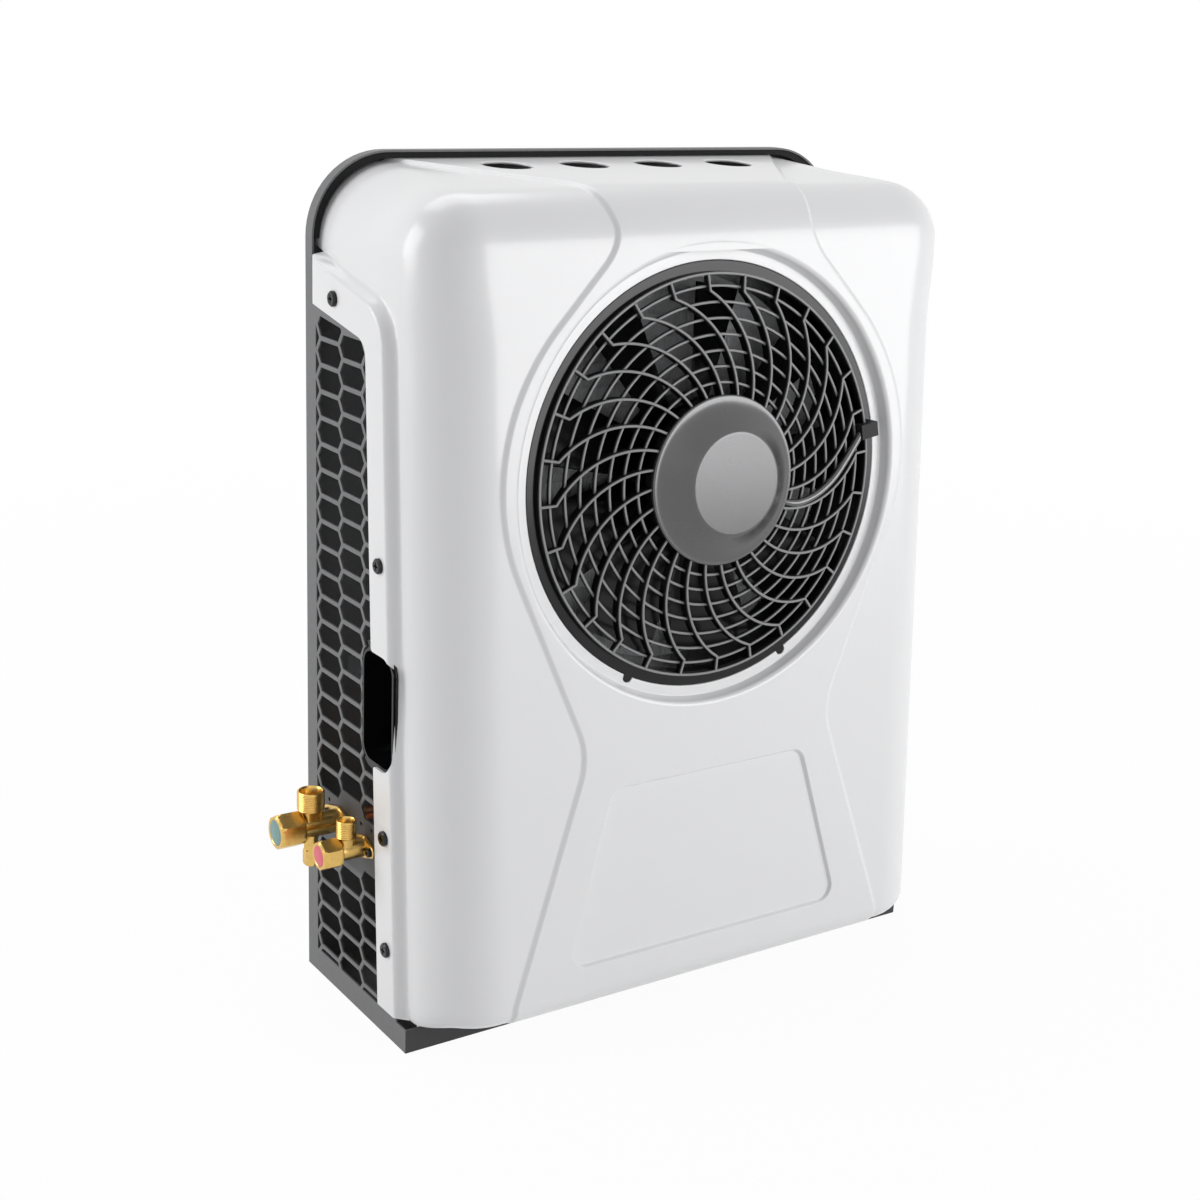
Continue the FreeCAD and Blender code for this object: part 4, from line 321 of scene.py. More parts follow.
class FinishMaker:
    """Makes each finish's material once."""

    PATCHES = 14.0
    MOTTLE_SIZE = 3.0
    MOTTLE_DETAIL = 3.0
    GRAIN_DETAIL = 4.0

    def __init__(self) -> None:
        """Starts with no material made."""
        self.made: dict[str, bpy.types.Material] = {}

    def material(self, name: str) -> bpy.types.Material:
        """Material of a finish, made when it is first asked for.

        Args:
            name: Name of the finish.

        Returns:
            The Blender material.
        """
        if name not in self.made:
            self.made[name] = self.build(FINISHES[name])
        return self.made[name]

    def build(self, finish: Finish) -> bpy.types.Material:
        """Builds the material of one finish.

        Args:
            finish: The finish.

        Returns:
            The Blender material.
        """
        graph = ShaderGraph(finish.name)
        graph.surface_input("Base Color", (*finish.color, 1.0))
        graph.surface_input("Roughness", finish.roughness)
        graph.surface_input("Metallic", finish.metallic)
        graph.surface_input("Specular IOR Level", finish.specular)
        graph.surface_input("Coat Weight", finish.coat)
        graph.surface_input("Coat Roughness", finish.coat_roughness)
        self.add_mottle(graph, finish)
        self.add_sheen(graph, finish)
        self.add_grain(graph, finish)
        return graph.material

    def add_mottle(self, graph: ShaderGraph, finish: Finish) -> None:
        """Varies the base colour a little from place to place, and adds the second colour's painted shade or
        highlight.

        Args:
            graph: Graph of the material.
            finish: The finish.
        """
        patches = graph.noise(finish.grain_scale / self.MOTTLE_SIZE, self.MOTTLE_DETAIL)
        share = patches * finish.mottle + (1.0 - finish.mottle / 2)
        red, green, blue = (share * part for part in finish.color)
        color = graph.node("ShaderNodeCombineColor", Red=red, Green=green, Blue=blue)
        if finish.second is not None:
            # Second colour: by band a painted shade, else by the points' share a painted highlight.
            tone = graph.in_band(finish.band, finish.soft) if finish.band else \
                graph.node("ShaderNodeAttribute", "Fac", {"attribute_name": "tone"})
            color = graph.mix_color(tone, color, (*finish.second, 1.0))
        graph.surface_input("Base Color", color)

    def add_sheen(self, graph: ShaderGraph, finish: Finish) -> None:
        """Varies the roughness over hand sized patches."""
        patch = graph.noise(self.PATCHES, self.MOTTLE_DETAIL) - 0.5
        graph.surface_input("Roughness", patch * (2 * finish.sheen_change) + finish.roughness)

    def add_grain(self, graph: ShaderGraph, finish: Finish) -> None:
        """Adds the fine relief: noise, or the upright folds of a fin pack, a sine across the piece.

        Args:
            graph: Graph of the material.
            finish: The finish.
        """
        if finish.grain is Grain.FINS:
            across = graph.node("ShaderNodeSeparateXYZ", "X", Vector=graph.place())
            height = graph.math("SINE", across * (2 * math.pi * finish.grain_scale))
        else:
            height = graph.noise(finish.grain_scale, self.GRAIN_DETAIL)
        bump = graph.node("ShaderNodeBump", Height=height, Distance=finish.grain_depth, Strength=1.0)
        graph.surface_input("Normal", bump)


def linked(name: str, data: bpy.types.ID) -> bpy.types.Object:
    """Makes an object and links it to the scene.

    Args:
        name: Name of the object.
        data: Its mesh, camera or light.

    Returns:
        The object.
    """
    made = bpy.data.objects.new(name, data)
    bpy.context.scene.collection.objects.link(made)
    return made


@dataclass(frozen=True)
class PhotoCamera:
    """Camera fitted to the photo, in the unit's frame.

    Args:
        target: Point on the middle of the view, in metres.
        distance: Distance of the camera from that point in metres.
        azimuth: Turn about Z from looking along +Y, in degrees.
        elevation: Height angle in degrees.
        roll: Turn about the viewing axis in degrees.
        lens: Focal length in millimetres.
        sensor: Width of the sensor in millimetres.
    """

    target: tuple[float, float, float] = (-0.0305, -0.0025, 0.3188)
    distance: float = 1.60331
    azimuth: float = -34.198
    elevation: float = 17.123
    roll: float = 2.386
    lens: float = 57.65
    sensor: float = 36.0

    def build(self) -> bpy.types.Object:
        """Makes the camera and hands it to the scene.

        Returns:
            The camera object.
        """
        a, e, r = (math.radians(v) for v in (self.azimuth, self.elevation, self.roll))
        back = Vector((math.sin(a) * math.cos(e), -math.cos(a) * math.cos(e), math.sin(e)))
        level = Vector((0, 0, 1)).cross(back).normalized()
        rise = back.cross(level)
        right = math.cos(r) * level + math.sin(r) * rise
        up = math.cos(r) * rise - math.sin(r) * level
        data = bpy.data.cameras.new("photo_camera")
        data.lens = self.lens
        data.sensor_width = self.sensor
        camera = linked("photo_camera", data)
        turn = Matrix((right, up, back)).transposed().to_4x4()
        camera.matrix_world = Matrix.Translation(Vector(self.target) + back * self.distance) @ turn
        bpy.context.scene.camera = camera
        return camera


@dataclass(frozen=True)
class SoftBox:
    """One rectangular studio light.

    Args:
        name: Name of the light.
        at: Position in metres.
        aim: Point it faces.
        size: Width and height in metres.
        power: Power in watts.
        tint: Colour of the light.
    """

    name: str
    at: tuple[float, float, float]
    aim: tuple[float, float, float]
    size: tuple[float, float]
    power: float
    tint: tuple[float, float, float] = (1.0, 1.0, 1.0)

    def build(self) -> bpy.types.Object:
        """Makes the light.

        Returns:
            The light object.
        """
        data = bpy.data.lights.new(self.name, "AREA")
        data.shape = "RECTANGLE"
        data.size, data.size_y = self.size
        data.energy = self.power
        data.color = self.tint
        light = linked(self.name, data)
        facing = Vector(self.aim) - Vector(self.at)
        light.matrix_world = Matrix.Translation(self.at) @ facing.to_track_quat("-Z", "Y").to_matrix().to_4x4()
        return light


CENTRE = (0.0, 0.0, 0.34)
STUDIO = (
    SoftBox("front_box", (1.75, -2.45, 0.75), CENTRE, (2.0, 2.2), 60.0),
    SoftBox("side_box", (-2.3, 1.1, 1.2), CENTRE, (1.4, 2.0), 37.0),
    SoftBox("top_box", (0.1, 1.0, 2.5), CENTRE, (2.0, 1.2), 18.0),
    SoftBox("fill_box", (-0.9, -3.0, 1.6), CENTRE, (2.4, 1.4), 1.5),
)


class Studio:
    """Floor, background and lights."""

    FLOOR_HALF = 6.0
    FLOOR_PALE = (0.8, 0.8, 0.8, 1.0)
    FLOOR_ROUGH = 0.9
    FILL = (0.34, 0.34, 0.35, 1.0)
    WHITE = (1.0, 1.0, 1.0, 1.0)
    GLOW_NEAR = 0.955
    GLOW_GAIN = 0.02

    def build(self) -> None:
        """Makes the floor, the world and the lights."""
        self.build_floor()
        self.build_world()
        for box in STUDIO:
            box.build()

    def build_floor(self) -> None:
        """Pale floor that glows white to the camera and in mirror images, and keeps a shadow near the unit."""
        half = self.FLOOR_HALF
        mesh = bpy.data.meshes.new("floor")
        mesh.from_pydata([(-half, -half, 0), (half, -half, 0), (half, half, 0), (-half, half, 0)], [], [(0, 1, 2, 3)])
        floor = linked("floor", mesh)
        graph = ShaderGraph("floor")
        glow = graph.node("ShaderNodeEmission", Color=self.WHITE, Strength=1.0)
        away = graph.node("ShaderNodeVectorMath", "Value", {"operation": "LENGTH"}, i0=graph.place())
        glow_share = graph.math("MINIMUM", away * self.GLOW_GAIN + self.GLOW_NEAR, 1.0)
        graph.surface_input("Base Color", self.FLOOR_PALE)
        graph.surface_input("Roughness", self.FLOOR_ROUGH)
        mixed = graph.node("ShaderNodeMixShader", i0=graph.background_seen() * glow_share,
                           i1=Socket(graph, graph.surface.outputs[0]), i2=glow)
        graph.put(graph.tree.nodes["Material Output"].inputs["Surface"], mixed)
        mesh.materials.append(graph.material)

    def build_world(self) -> None:
        """White to the camera and in mirror images, a softer grey for the light that it gives."""
        world = bpy.data.worlds.new("studio")
        world.use_nodes = True
        graph = ShaderGraph.of_tree(world.node_tree)
        shade = graph.mix_color(graph.background_seen(), self.FILL, self.WHITE)
        graph.put(graph.tree.nodes["Background"].inputs["Color"], shade)
        bpy.context.scene.world = world


def set_output_look() -> None:
    """Plain colour management, so that white stays white."""
    view = bpy.context.scene.view_settings
    view.view_transform = "Standard"
    view.look = "None"
    view.exposure = 0.0
    view.gamma = 1.0


# Finishes that add painted shade: darker round the valves on the side sheet, darker on the tray's front.
OWN_FINISH = {"side_grille_left": "valve_side_coat", "base_pan": "tray_coat"}


def paint_nodes(frame: dict, finishes: FinishMaker) -> None:
    """Gives each CAD node its own finish, painted shade on the side sheet and tray, or else that of its material
    slot.

    Args:
        frame: The loaded frame.
        finishes: Maker of the materials.
    """
    for part in frame["record"]["subparts"]:
        node = frame["nodes"][part["node"]]
        finish = OWN_FINISH.get(part["node"], part["material_slot"])
        node.data.materials.clear()
        node.data.materials.append(finishes.material(finish))
        LOG.info("%s has the finish %s", part["node"], finish)


# Shapes that several pieces share


def smooth(share: np.ndarray) -> np.ndarray:
    """Smooth step from nought to one, three squares less two cubes of the clipped share."""
    t = np.clip(share, 0.0, 1.0)
    return t * t * (3.0 - 2.0 * t)


def inside(points: np.ndarray, loop: np.ndarray) -> np.ndarray:
    """Tells which points lie in a closed loop, by counting crossings of a ray along the first axis.

    Args:
        points: Points as rows of two coordinates.
        loop: Corners of the loop as rows of two coordinates.

    Returns:
        True for each point that lies inside.
    """
    a, b = loop, np.roll(loop, -1, axis=0)
    px, py = points[:, :1], points[:, 1:2]
    spans = (a[:, 1] > py) != (b[:, 1] > py)
    rise = np.where(b[:, 1] == a[:, 1], TINY, b[:, 1] - a[:, 1])
    hits = px < a[:, 0] + (py - a[:, 1]) * (b[:, 0] - a[:, 0]) / rise
    return (spans & hits).sum(axis=1) % 2 == 1


def rounded_loop(corners: list[tuple[float, float, float]], steps: int = 10) -> np.ndarray:
    """Closed outline whose corners (a, b, radius) are rounded by arcs tangent to both sides.

    Args:
        corners: Corners in order with the radius of each.
        steps: Steps of each arc.

    Returns:
        Points of the outline as rows of two coordinates.
    """
    points = []
    count = len(corners)
    for index, (a, b, radius) in enumerate(corners):
        here = np.array([a, b])
        if radius <= 0:
            points.append(here[None])
            continue
        before = np.array(corners[index - 1][:2]) - here
        after = np.array(corners[(index + 1) % count][:2]) - here
        before /= np.linalg.norm(before)
        after /= np.linalg.norm(after)
        half = math.acos(np.clip(before @ after, -1, 1)) / 2
        bisector = (before + after) / np.linalg.norm(before + after)
        centre = here + bisector * radius / math.sin(half)
        start = here + before * radius / math.tan(half) - centre
        end = here + after * radius / math.tan(half) - centre
        whole = math.pi - 2 * half
        turn = np.linspace(0, 1, steps + 1)[:, None] * whole
        points.append(centre + (np.sin(whole - turn) * start + np.sin(turn) * end) / math.sin(whole))
    return np.vstack(points)


def circle(count: int) -> np.ndarray:
    """Angles of a full turn in equal steps, without its end."""
    return np.linspace(0, 2 * math.pi, count, endpoint=False)


def directions(angles: np.ndarray) -> np.ndarray:
    """Unit directions at angles, as rows of cosine and sine."""
    return np.stack([np.cos(angles), np.sin(angles)], axis=1)


def within_half_turn(angle: np.ndarray | float) -> np.ndarray | float:
    """The same angle, brought to within half a turn of nought."""
    return (angle + math.pi) % (2 * math.pi) - math.pi


def arc_points(centre: np.ndarray, start: np.ndarray, end: np.ndarray, steps: int = 40) -> np.ndarray:
    """Shorter arc about a centre, at equal angles from its start to its end.

    Args:
        centre: Centre of the arc.
        start: First point.
        end: Point in whose direction it ends.
        steps: Number of steps.

    Returns:
        Points as rows of two coordinates.
    """
    first = math.atan2(*(start - centre)[::-1])
    turn = within_half_turn(math.atan2(*(end - centre)[::-1]) - first)
    return centre + np.linalg.norm(start - centre) * directions(first + np.linspace(0, turn, steps + 1))


def closed(loops: np.ndarray) -> np.ndarray:
    """Rows of points, each with its first point again at its end."""
    return np.concatenate([loops, loops[:, :1]], axis=1)


def about_axis(reach: np.ndarray, angles: np.ndarray, height: np.ndarray | float) -> np.ndarray:
    """Points by their reach from the third axis, the angle about it and the height along it."""
    return np.stack([reach * np.cos(angles), reach * np.sin(angles), height + 0 * angles], axis=-1)


def merged_mesh(name: str, points: np.ndarray, faces: list[tuple[int, ...]], merge: float,
                tone: np.ndarray | None = None) -> bpy.types.Mesh:
    """Smoothly shaded mesh whose points that lie together are made one.

    Args:
        name: Name of the mesh.
        points: Points as rows of x, y and z in millimetres.
        faces: Faces as rows of point numbers.
        merge: Distance in metres up to which points are made one.
        tone: How much of the finish's second colour each point shows.

    Returns:
        The mesh.
    """
    mesh = bpy.data.meshes.new(name)
    mesh.from_pydata((points * MM).tolist(), [], faces)
    # Each point's share of the second colour, the guard's painted highlight.
    if tone is not None:
        mesh.attributes.new("tone", "FLOAT", "POINT").data.foreach_set("value", tone.astype(np.float32))
    work = bmesh.new()
    work.from_mesh(mesh)
    bmesh.ops.remove_doubles(work, verts=work.verts, dist=merge)
    bmesh.ops.dissolve_degenerate(work, edges=work.edges, dist=FLAT_EDGE)
    work.to_mesh(mesh)
    work.free()
    mesh.shade_smooth()
    return mesh


@dataclass(frozen=True)
class CoverSizes:
    """Sizes of the moulded cover in millimetres and degrees.

    They are those of the CAD source, with the soft transitions that a moulding has.
    """

    back: float = 87.5
    front_foot: float = -140.3
    lean: float = 3.66
    top_height: float = 674.4
    fall: float = 3.44
    half_width: float = 248.0
    rear: float = 84.5
    foot: float = 24.0
    chin: float = 20.0
    under_edge: float = -88.75
    panel_raise: float = 2.5
    brow_radius: float = 50.0
    side_radius: float = 56.0
    shoulder_radius: float = 62.0
    corner_blend: float = 70.0
    crease_half: float = 2.6
    fan_up: float = 444.8
    crease_radius: float = 192.5
    crease_lift: float = 5.0
    neck_half: float = 91.5
    neck_radius: float = 48.0
    neck_above: float = 210.0
    neck_angle: float = 7.0
    waist_half: float = 121.5
    waist_radius: float = 62.0
    waist_below: float = 221.0
    skirt_angle: float = 18.0
    brow_crease_radius: float = 60.0
    brow_crease_angle: float = 32.0
    brow_crease_above: float = 285.0
    vent_radius: float = 20.0
    vent_pitch: float = 71.6
    vent_from_back: float = 50.0
    plate_top: float = 207.0
    plate_bottom: float = 64.0
    plate_top_half: float = 94.0
    plate_bottom_half: float = 136.5
    plate_depth: float = 3.0
    plate_radius: float = 13.0
    plate_soft: float = 1.4
    flange_stand: float = 9.5
    flange_back: float = 17.5
    flange_top: float = 609.5
    flange_fall: float = 11.8
    flange_corner: float = 42.0
    flange_step: float = 9.5
    valley_foot: float = 168.0
    valley_slope: float = 3.07
    window_top: float = 566.5
    window_fall: float = 10.0
    window_front: float = 105.5
    window_foot: float = 131.9
    window_slope: float = 2.87
    window_radius: float = 15.0
    slot_low: float = 224.5
    slot_high: float = 317.0
    slot_front: float = 149.7
    slot_radius: float = 14.0
    lip_recess: float = 9.4
    opening_radius: float = 168.0
    ring_edge: float = 183.0
    lip_return: float = 12.0
    lug_angle: float = 26.7
    lug_circle: float = 169.0
    lug_clear_radius: float = 4.4
    brim_radius: float = 4.5
    recess_run: float = 3.5
    recess_foot_radius: float = 1.2
    lip_roll: float = 0.8
    vent_roll: float = 1.3
    notch_soft: float = 3.0
    wall: float = 2.3
    sharp_angle: float = 40.0


class Cover:
    """White moulded cover, one sheet with soft creases, then given its wall."""

    ROW_STEP = 5.0
    BROW_STEPS = 26
    CHIN_STEPS = 9
    CREASE_COLUMNS = 12
    SIDE_COLUMNS = 26
    CENTRE_COLUMNS = 12
    RING_STEPS = 240
    REAR_STEP_SHARE = 0.25
    FLANGE_GUIDES = 8
    FLANGE_CORNER_STEPS = 20
    CHIN_FADE_FROM = 0.7
    CHIN_FADE_SPAN = 0.75
    CHIN_FADE = 0.97
    LUG_POINTS = 17
    LUG_SPREAD = 1.02
    LUG_GAP = 1.3
    RECESS_LEAN = 0.7
    VENTS = 4
    SETTLE_ROUNDS = 30
    CLEAR = 0.05
    SAME_PLACE = 1e-4
    ARC_GAP = 0.5
    GUIDE_GAP = 0.3
    BELOW_FOOT = 50.0
    BROW_RUN = 175.0
    SKIRT_RUN = 350.0
    BEND_POINTS = 9
    FLANGE_ARC_STEPS = 24
    FLANGE_TOP_POINTS = 6
    WINDOW_CORNER_STEPS = 8
    PLATE_CORNER_STEPS = 12
    PLATE_ROWS = 11
    VENT_POINTS = 48
    VENT_ROWS = 5
    LIP_TURNS = (0, 30, 60, 90)
    SNAP = 1e-7
    SLACK = 1e-6
    MERGE = 2e-5
    AHEAD = np.array([0.0, -1.0, 0.0])
    AHEAD_UP = np.array([0.0, -1.0, 1.0])
    AHEAD_DOWN = np.array([0.0, -1.0, -0.3])
    UP = np.array([0.0, 0.0, 1.0])

    def __init__(self, sizes: CoverSizes, finishes: FinishMaker) -> None:
        """Lays the cover's profile and rows.

        Args:
            sizes: Sizes of the cover.
            finishes: Maker of the materials.
        """
        self.size = sizes
        self.finishes = finishes
        self.points: list[np.ndarray] = []
        self.faces: list[np.ndarray] = []
        self.offset = 0
        self.lay_profile()
        self.lay_rows()

    # Profile of the raised panel in the middle plane, from the chin over the brow to the rear edge

    def lay_profile(self) -> None:
        """Works out the planes of the front and the top and the brow's centre between them."""
        c = self.size
        lean, fall = math.radians(c.lean), math.radians(c.fall)
        self.front_normal = np.array([-math.cos(lean), math.sin(lean)])
        self.front_up = np.array([math.sin(lean), math.cos(lean)])
        self.top_normal = np.array([-math.sin(fall), math.cos(fall)])
        self.top_back = np.array([math.cos(fall), math.sin(fall)])
        self.front_origin = np.array([c.front_foot, 0.0])
        top_origin = np.array([c.back, c.top_height])
        offsets = [self.front_normal @ self.front_origin - c.brow_radius,
                   self.top_normal @ top_origin - c.brow_radius]
        self.brow_centre = np.linalg.solve(np.array([self.front_normal, self.top_normal]), offsets)
        self.brow_start = self.front_up @ (self.brow_centre - self.front_origin)

    def lay_rows(self) -> None:
        """Lays the rows of the sheet: points, outward normals and corner radii along the profile."""
        c = self.size
        start = (c.foot + c.chin) / self.front_up[1]
        count = round((self.brow_start - start) / self.ROW_STEP)
        up = np.linspace(start, self.brow_start, count + 1)
        front = self.front_origin + up[:, None] * self.front_up
        self.front_rows = count + 1
        angles = np.linspace(math.radians(c.lean), math.pi / 2 - math.radians(c.fall), self.BROW_STEPS + 1)[1:]
        normals = np.stack([-np.cos(angles), np.sin(angles)], axis=1)
        brow = self.brow_centre + c.brow_radius * normals
        self.top_start = brow[-1]
        reach = (c.rear - self.top_start[0]) / self.top_back[0]
        back = np.linspace(0, reach, round(reach / self.ROW_STEP) + 1)[1:]
        top = self.top_start + back[:, None] * self.top_back
        self.up = up
        self.back_steps = back
        self.row = np.vstack([front, brow, top])
        self.normal = np.vstack([np.tile(self.front_normal, (len(front), 1)), normals,
                                 np.tile(self.top_normal, (len(top), 1))])
        tight = c.brow_radius - c.panel_raise
        before = tight + (c.side_radius - tight) * smooth((self.brow_start - up) / c.corner_blend)
        after = tight + (c.shoulder_radius - tight) * smooth(back / c.corner_blend)
        self.radius = np.concatenate([before, np.full(len(angles), tight), after])
        step = np.linalg.norm(np.diff(self.row, axis=0), axis=1)
        self.along = np.concatenate([[0.0], np.cumsum(step)])
        self.crease = self.crease_at(self.row.sum(axis=1))

    def crease_at(self, level: np.ndarray) -> np.ndarray:
        """Half width of the raised panel at a sum of y and z.

        The outline is a chain of tangent arcs and straight lines: slanted over the brow, a neck, an arc
        about the fan, a waist and a flaring skirt.

        Args:
            level: Sums of y and z.

        Returns:
            Half width at each.
        """
        c = self.size
        fan = (self.front_origin + c.fan_up * self.front_up).sum()
        ring = np.array([0.0, fan + c.crease_lift])
        neck = np.array([c.neck_half + c.neck_radius, fan + c.neck_above])
        waist = np.array([c.waist_half + c.waist_radius, fan - c.waist_below])
        leave, sweep, skirt = (math.radians(v) for v in (c.neck_angle, c.brow_crease_angle, c.skirt_angle))
        ring_high, neck_low = self.crossing(ring, c.crease_radius, neck, c.neck_radius, -1)
        ring_low, waist_high = self.crossing(ring, c.crease_radius, waist, c.waist_radius, 1)
        neck_end = neck + c.neck_radius * np.array([-math.cos(leave), math.sin(leave)])
        rise = fan + c.brow_crease_above - neck_end[1]
        brow = neck_end + rise * np.array([math.tan(leave), 1.0])
        reach = c.brow_crease_radius * math.tan((sweep - leave) / 2)
        brow_out = brow - reach * np.array([math.sin(leave), math.cos(leave)])
        turn_centre = brow_out + c.brow_crease_radius * np.array([math.cos(leave), -math.sin(leave)])
        far = brow + self.BROW_RUN * np.array([math.sin(sweep), math.cos(sweep)])
        waist_end = waist + c.waist_radius * np.array([-math.cos(skirt), -math.sin(skirt)])
        foot = waist_end + self.SKIRT_RUN * np.array([math.sin(skirt), -math.cos(skirt)])
        bend = np.linspace(sweep, leave, self.BEND_POINTS)
        over_brow = turn_centre + c.brow_crease_radius * np.stack([-np.cos(bend), np.sin(bend)], axis=1)
        path = np.vstack([far, over_brow, arc_points(neck, neck_end, neck_low),
                          arc_points(ring, ring_high, ring_low), arc_points(waist, waist_high, waist_end),
                          foot])[::-1]
        return np.interp(level, path[:, 1], path[:, 0])

    @staticmethod
    def crossing(first: np.ndarray, first_radius: float, second: np.ndarray, second_radius: float,
                 side: int) -> tuple[np.ndarray, np.ndarray]:
        """Ends of the tangent that crosses between two circles.

        The cosine of its lean is the sum of the radii over the distance of the centres.

        Args:
            first: Centre of the first circle.
            first_radius: Its radius.
            second: Centre of the second circle.
            second_radius: Its radius.
            side: Side of the centres' line on which it leaves the first circle, one or minus one.

        Returns:
            Its points on the first and the second circle.
        """
        between = second - first
        lean = math.acos((first_radius + second_radius) / np.linalg.norm(between))
        angle = math.atan2(between[1], between[0]) + side * lean
        normal = np.array([math.cos(angle), math.sin(angle)])
        return first + normal * first_radius, second - normal * second_radius

    # Lines of the side flange, as distances from the back face and heights

    def joggle_at(self, depth: np.ndarray | float) -> np.ndarray | float:
        """Height of the step that ends the flange at the top."""
        return self.size.flange_top - depth * math.tan(math.radians(self.size.flange_fall))

    def valley_at(self, height: np.ndarray | float) -> np.ndarray | float:
        """Distance from the back face of the valley in front of the flange."""
        c = self.size
        return c.valley_foot - (height - c.foot) * math.tan(math.radians(c.valley_slope))

    def window_at(self, height: float) -> float:
        """Distance from the back face of the side window's front edge."""
        c = self.size
        return c.window_foot - (height - c.foot) * math.tan(math.radians(c.window_slope))

    def flange_corner(self) -> tuple[np.ndarray, np.ndarray]:
        """Rounds the corner between the step and the valley.

        Returns:
            Points of the arc from the step on, and its centre.
        """
        depth = self.size.valley_foot
        for _ in range(self.SETTLE_ROUNDS):
            depth = self.valley_at(self.joggle_at(depth))
        far = self.joggle_at(0.0)
        loop = rounded_loop([(0.0, far, 0.0), (depth, self.joggle_at(depth), self.size.flange_corner),
                             (self.valley_at(0.0), 0.0, 0.0)], self.FLANGE_ARC_STEPS)
        arc = loop[1:-1]
        a, b = arc[0], arc[-1]
        middle = arc[len(arc) // 2]
        chord = (a + b) / 2
        inward = (chord - middle) / np.linalg.norm(chord - middle)
        return arc, middle + inward * self.size.flange_corner

    # Pieces of the sheet

    def add(self, points: np.ndarray, faces: np.ndarray, outward: np.ndarray, mirror: bool = False) -> None:
        """Adds a piece with its faces turned outwards.

        Args:
            points: Points as rows of x, y and z in millimetres.
            faces: Faces as rows of point numbers.
            outward: Rough outward direction of each face, or one for all.
            mirror: Whether the piece is also added on the other side of the middle plane.
        """
        corner = points[faces[:, :3]]
        across = points[faces[:, -1]] - corner[:, 0]
        facing = np.cross(corner[:, 1] - corner[:, 0], across)
        facing += np.cross(corner[:, 2] - corner[:, 1], corner[:, 0] - corner[:, 1])
        wrong = np.einsum("ij,ij->i", facing, np.broadcast_to(outward, facing.shape)) < 0
        turned = faces.copy()
        turned[wrong] = faces[wrong][:, ::-1]
        self.points.append(points)
        self.faces.append(turned + self.offset)
        self.offset += len(points)
        if mirror:
            self.points.append(points * (-1, 1, 1))
            self.faces.append(turned[:, ::-1] + self.offset)
            self.offset += len(points)

    def add_grid(self, grid: np.ndarray, outward: np.ndarray, mirror: bool = False) -> None:
        """Adds a grid of points as four-sided faces.

        Args:
            grid: Points by row and column.
            outward: Rough outward direction at each point, or one for all.
            mirror: Whether the grid is also added on the other side of the middle plane.
        """
        rows, columns = grid.shape[:2]
        index = np.arange(rows * columns).reshape(rows, columns)
        faces = np.stack([index[:-1, :-1], index[1:, :-1], index[1:, 1:], index[:-1, 1:]], axis=-1).reshape(-1, 4)
        self.add(grid.reshape(-1, 3), faces, np.broadcast_to(outward, grid.shape).reshape(-1, 3)[faces[:, 0]], mirror)

    @staticmethod
    def triangulate(border: np.ndarray, holes: list[np.ndarray],
                    guides: list[np.ndarray]) -> tuple[np.ndarray, np.ndarray]:
        """Fills a flat border with triangles.

        Args:
            border: Outline as rows of two coordinates.
            holes: Outlines that stay open.
            guides: Lines whose points and edges the triangles keep.

        Returns:
            The points and the triangles as rows of point numbers.
        """
        loops = [border] + holes
        coords = np.vstack(loops + guides)
        edges = []
        start = 0
        for loop in loops:
            edges += [(start + i, start + (i + 1) % len(loop)) for i in range(len(loop))]
            start += len(loop)
        for line in guides:
            edges += [(start + i, start + i + 1) for i in range(len(line) - 1)]
            start += len(line)
        found = delaunay_2d_cdt([Vector(p) for p in coords.tolist()], edges, [], 0, Cover.SNAP)
        flat = np.array([tuple(v) for v in found[0]])
        triangles = np.array([tuple(face) for face in found[2]])
        middle = flat[triangles].mean(axis=1)
        kept = inside(middle, border)
        for hole in holes:
            kept &= ~inside(middle, hole)
        return flat, triangles[kept]

    def on_front(self, across: np.ndarray, up: np.ndarray, out: np.ndarray | float = 0.0) -> np.ndarray:
        """Points of the raised front plane.

        Args:
            across: Distances from the middle plane.
            up: Distances up the front from its foot.
            out: Distances out of the plane.

        Returns:
            Points as x, y and z.
        """
        yz = self.front_origin + np.asarray(up)[..., None] * self.front_up \
            + np.asarray(np.broadcast_to(out, np.shape(up)))[..., None] * self.front_normal
        return np.concatenate([np.asarray(across)[..., None], yz], axis=-1)

    def side_depths(self) -> np.ndarray:
        """Finds how far each row's corner arc turns: to the valley beside the flange, or a quarter turn.

        Returns:
            The angle of each row.
        """
        c = self.size
        lower = self.row - c.panel_raise * self.normal
        arc, centre = self.flange_corner()
        sin, cos = self.front_up[0], self.front_up[1]
        depth = c.back - lower[:, 0]
        inward = self.radius.copy()
        for _ in range(self.SETTLE_ROUNDS):
            height = lower[:, 1] - inward * sin
            lift = np.clip(height - centre[1], 0, c.flange_corner)
            bent = centre[0] + np.sqrt(c.flange_corner ** 2 - lift ** 2)
            line = np.where(height > arc[-1, 1], bent, self.valley_at(height))
            inward = np.clip((depth - line) / cos, 0, self.radius)
        at_valley = np.arange(len(self.row)) < self.front_rows
        at_valley &= (inward < self.radius - self.SLACK) & (lower[:, 1] - inward * sin < arc[0, 1])
        last = np.nonzero(~at_valley)[0][0]
        at_valley[last:] = False
        self.valley_rows = last
        turn = np.arccos(np.clip(1 - inward / self.radius, -1, 1))
        return np.where(at_valley, turn, math.pi / 2)

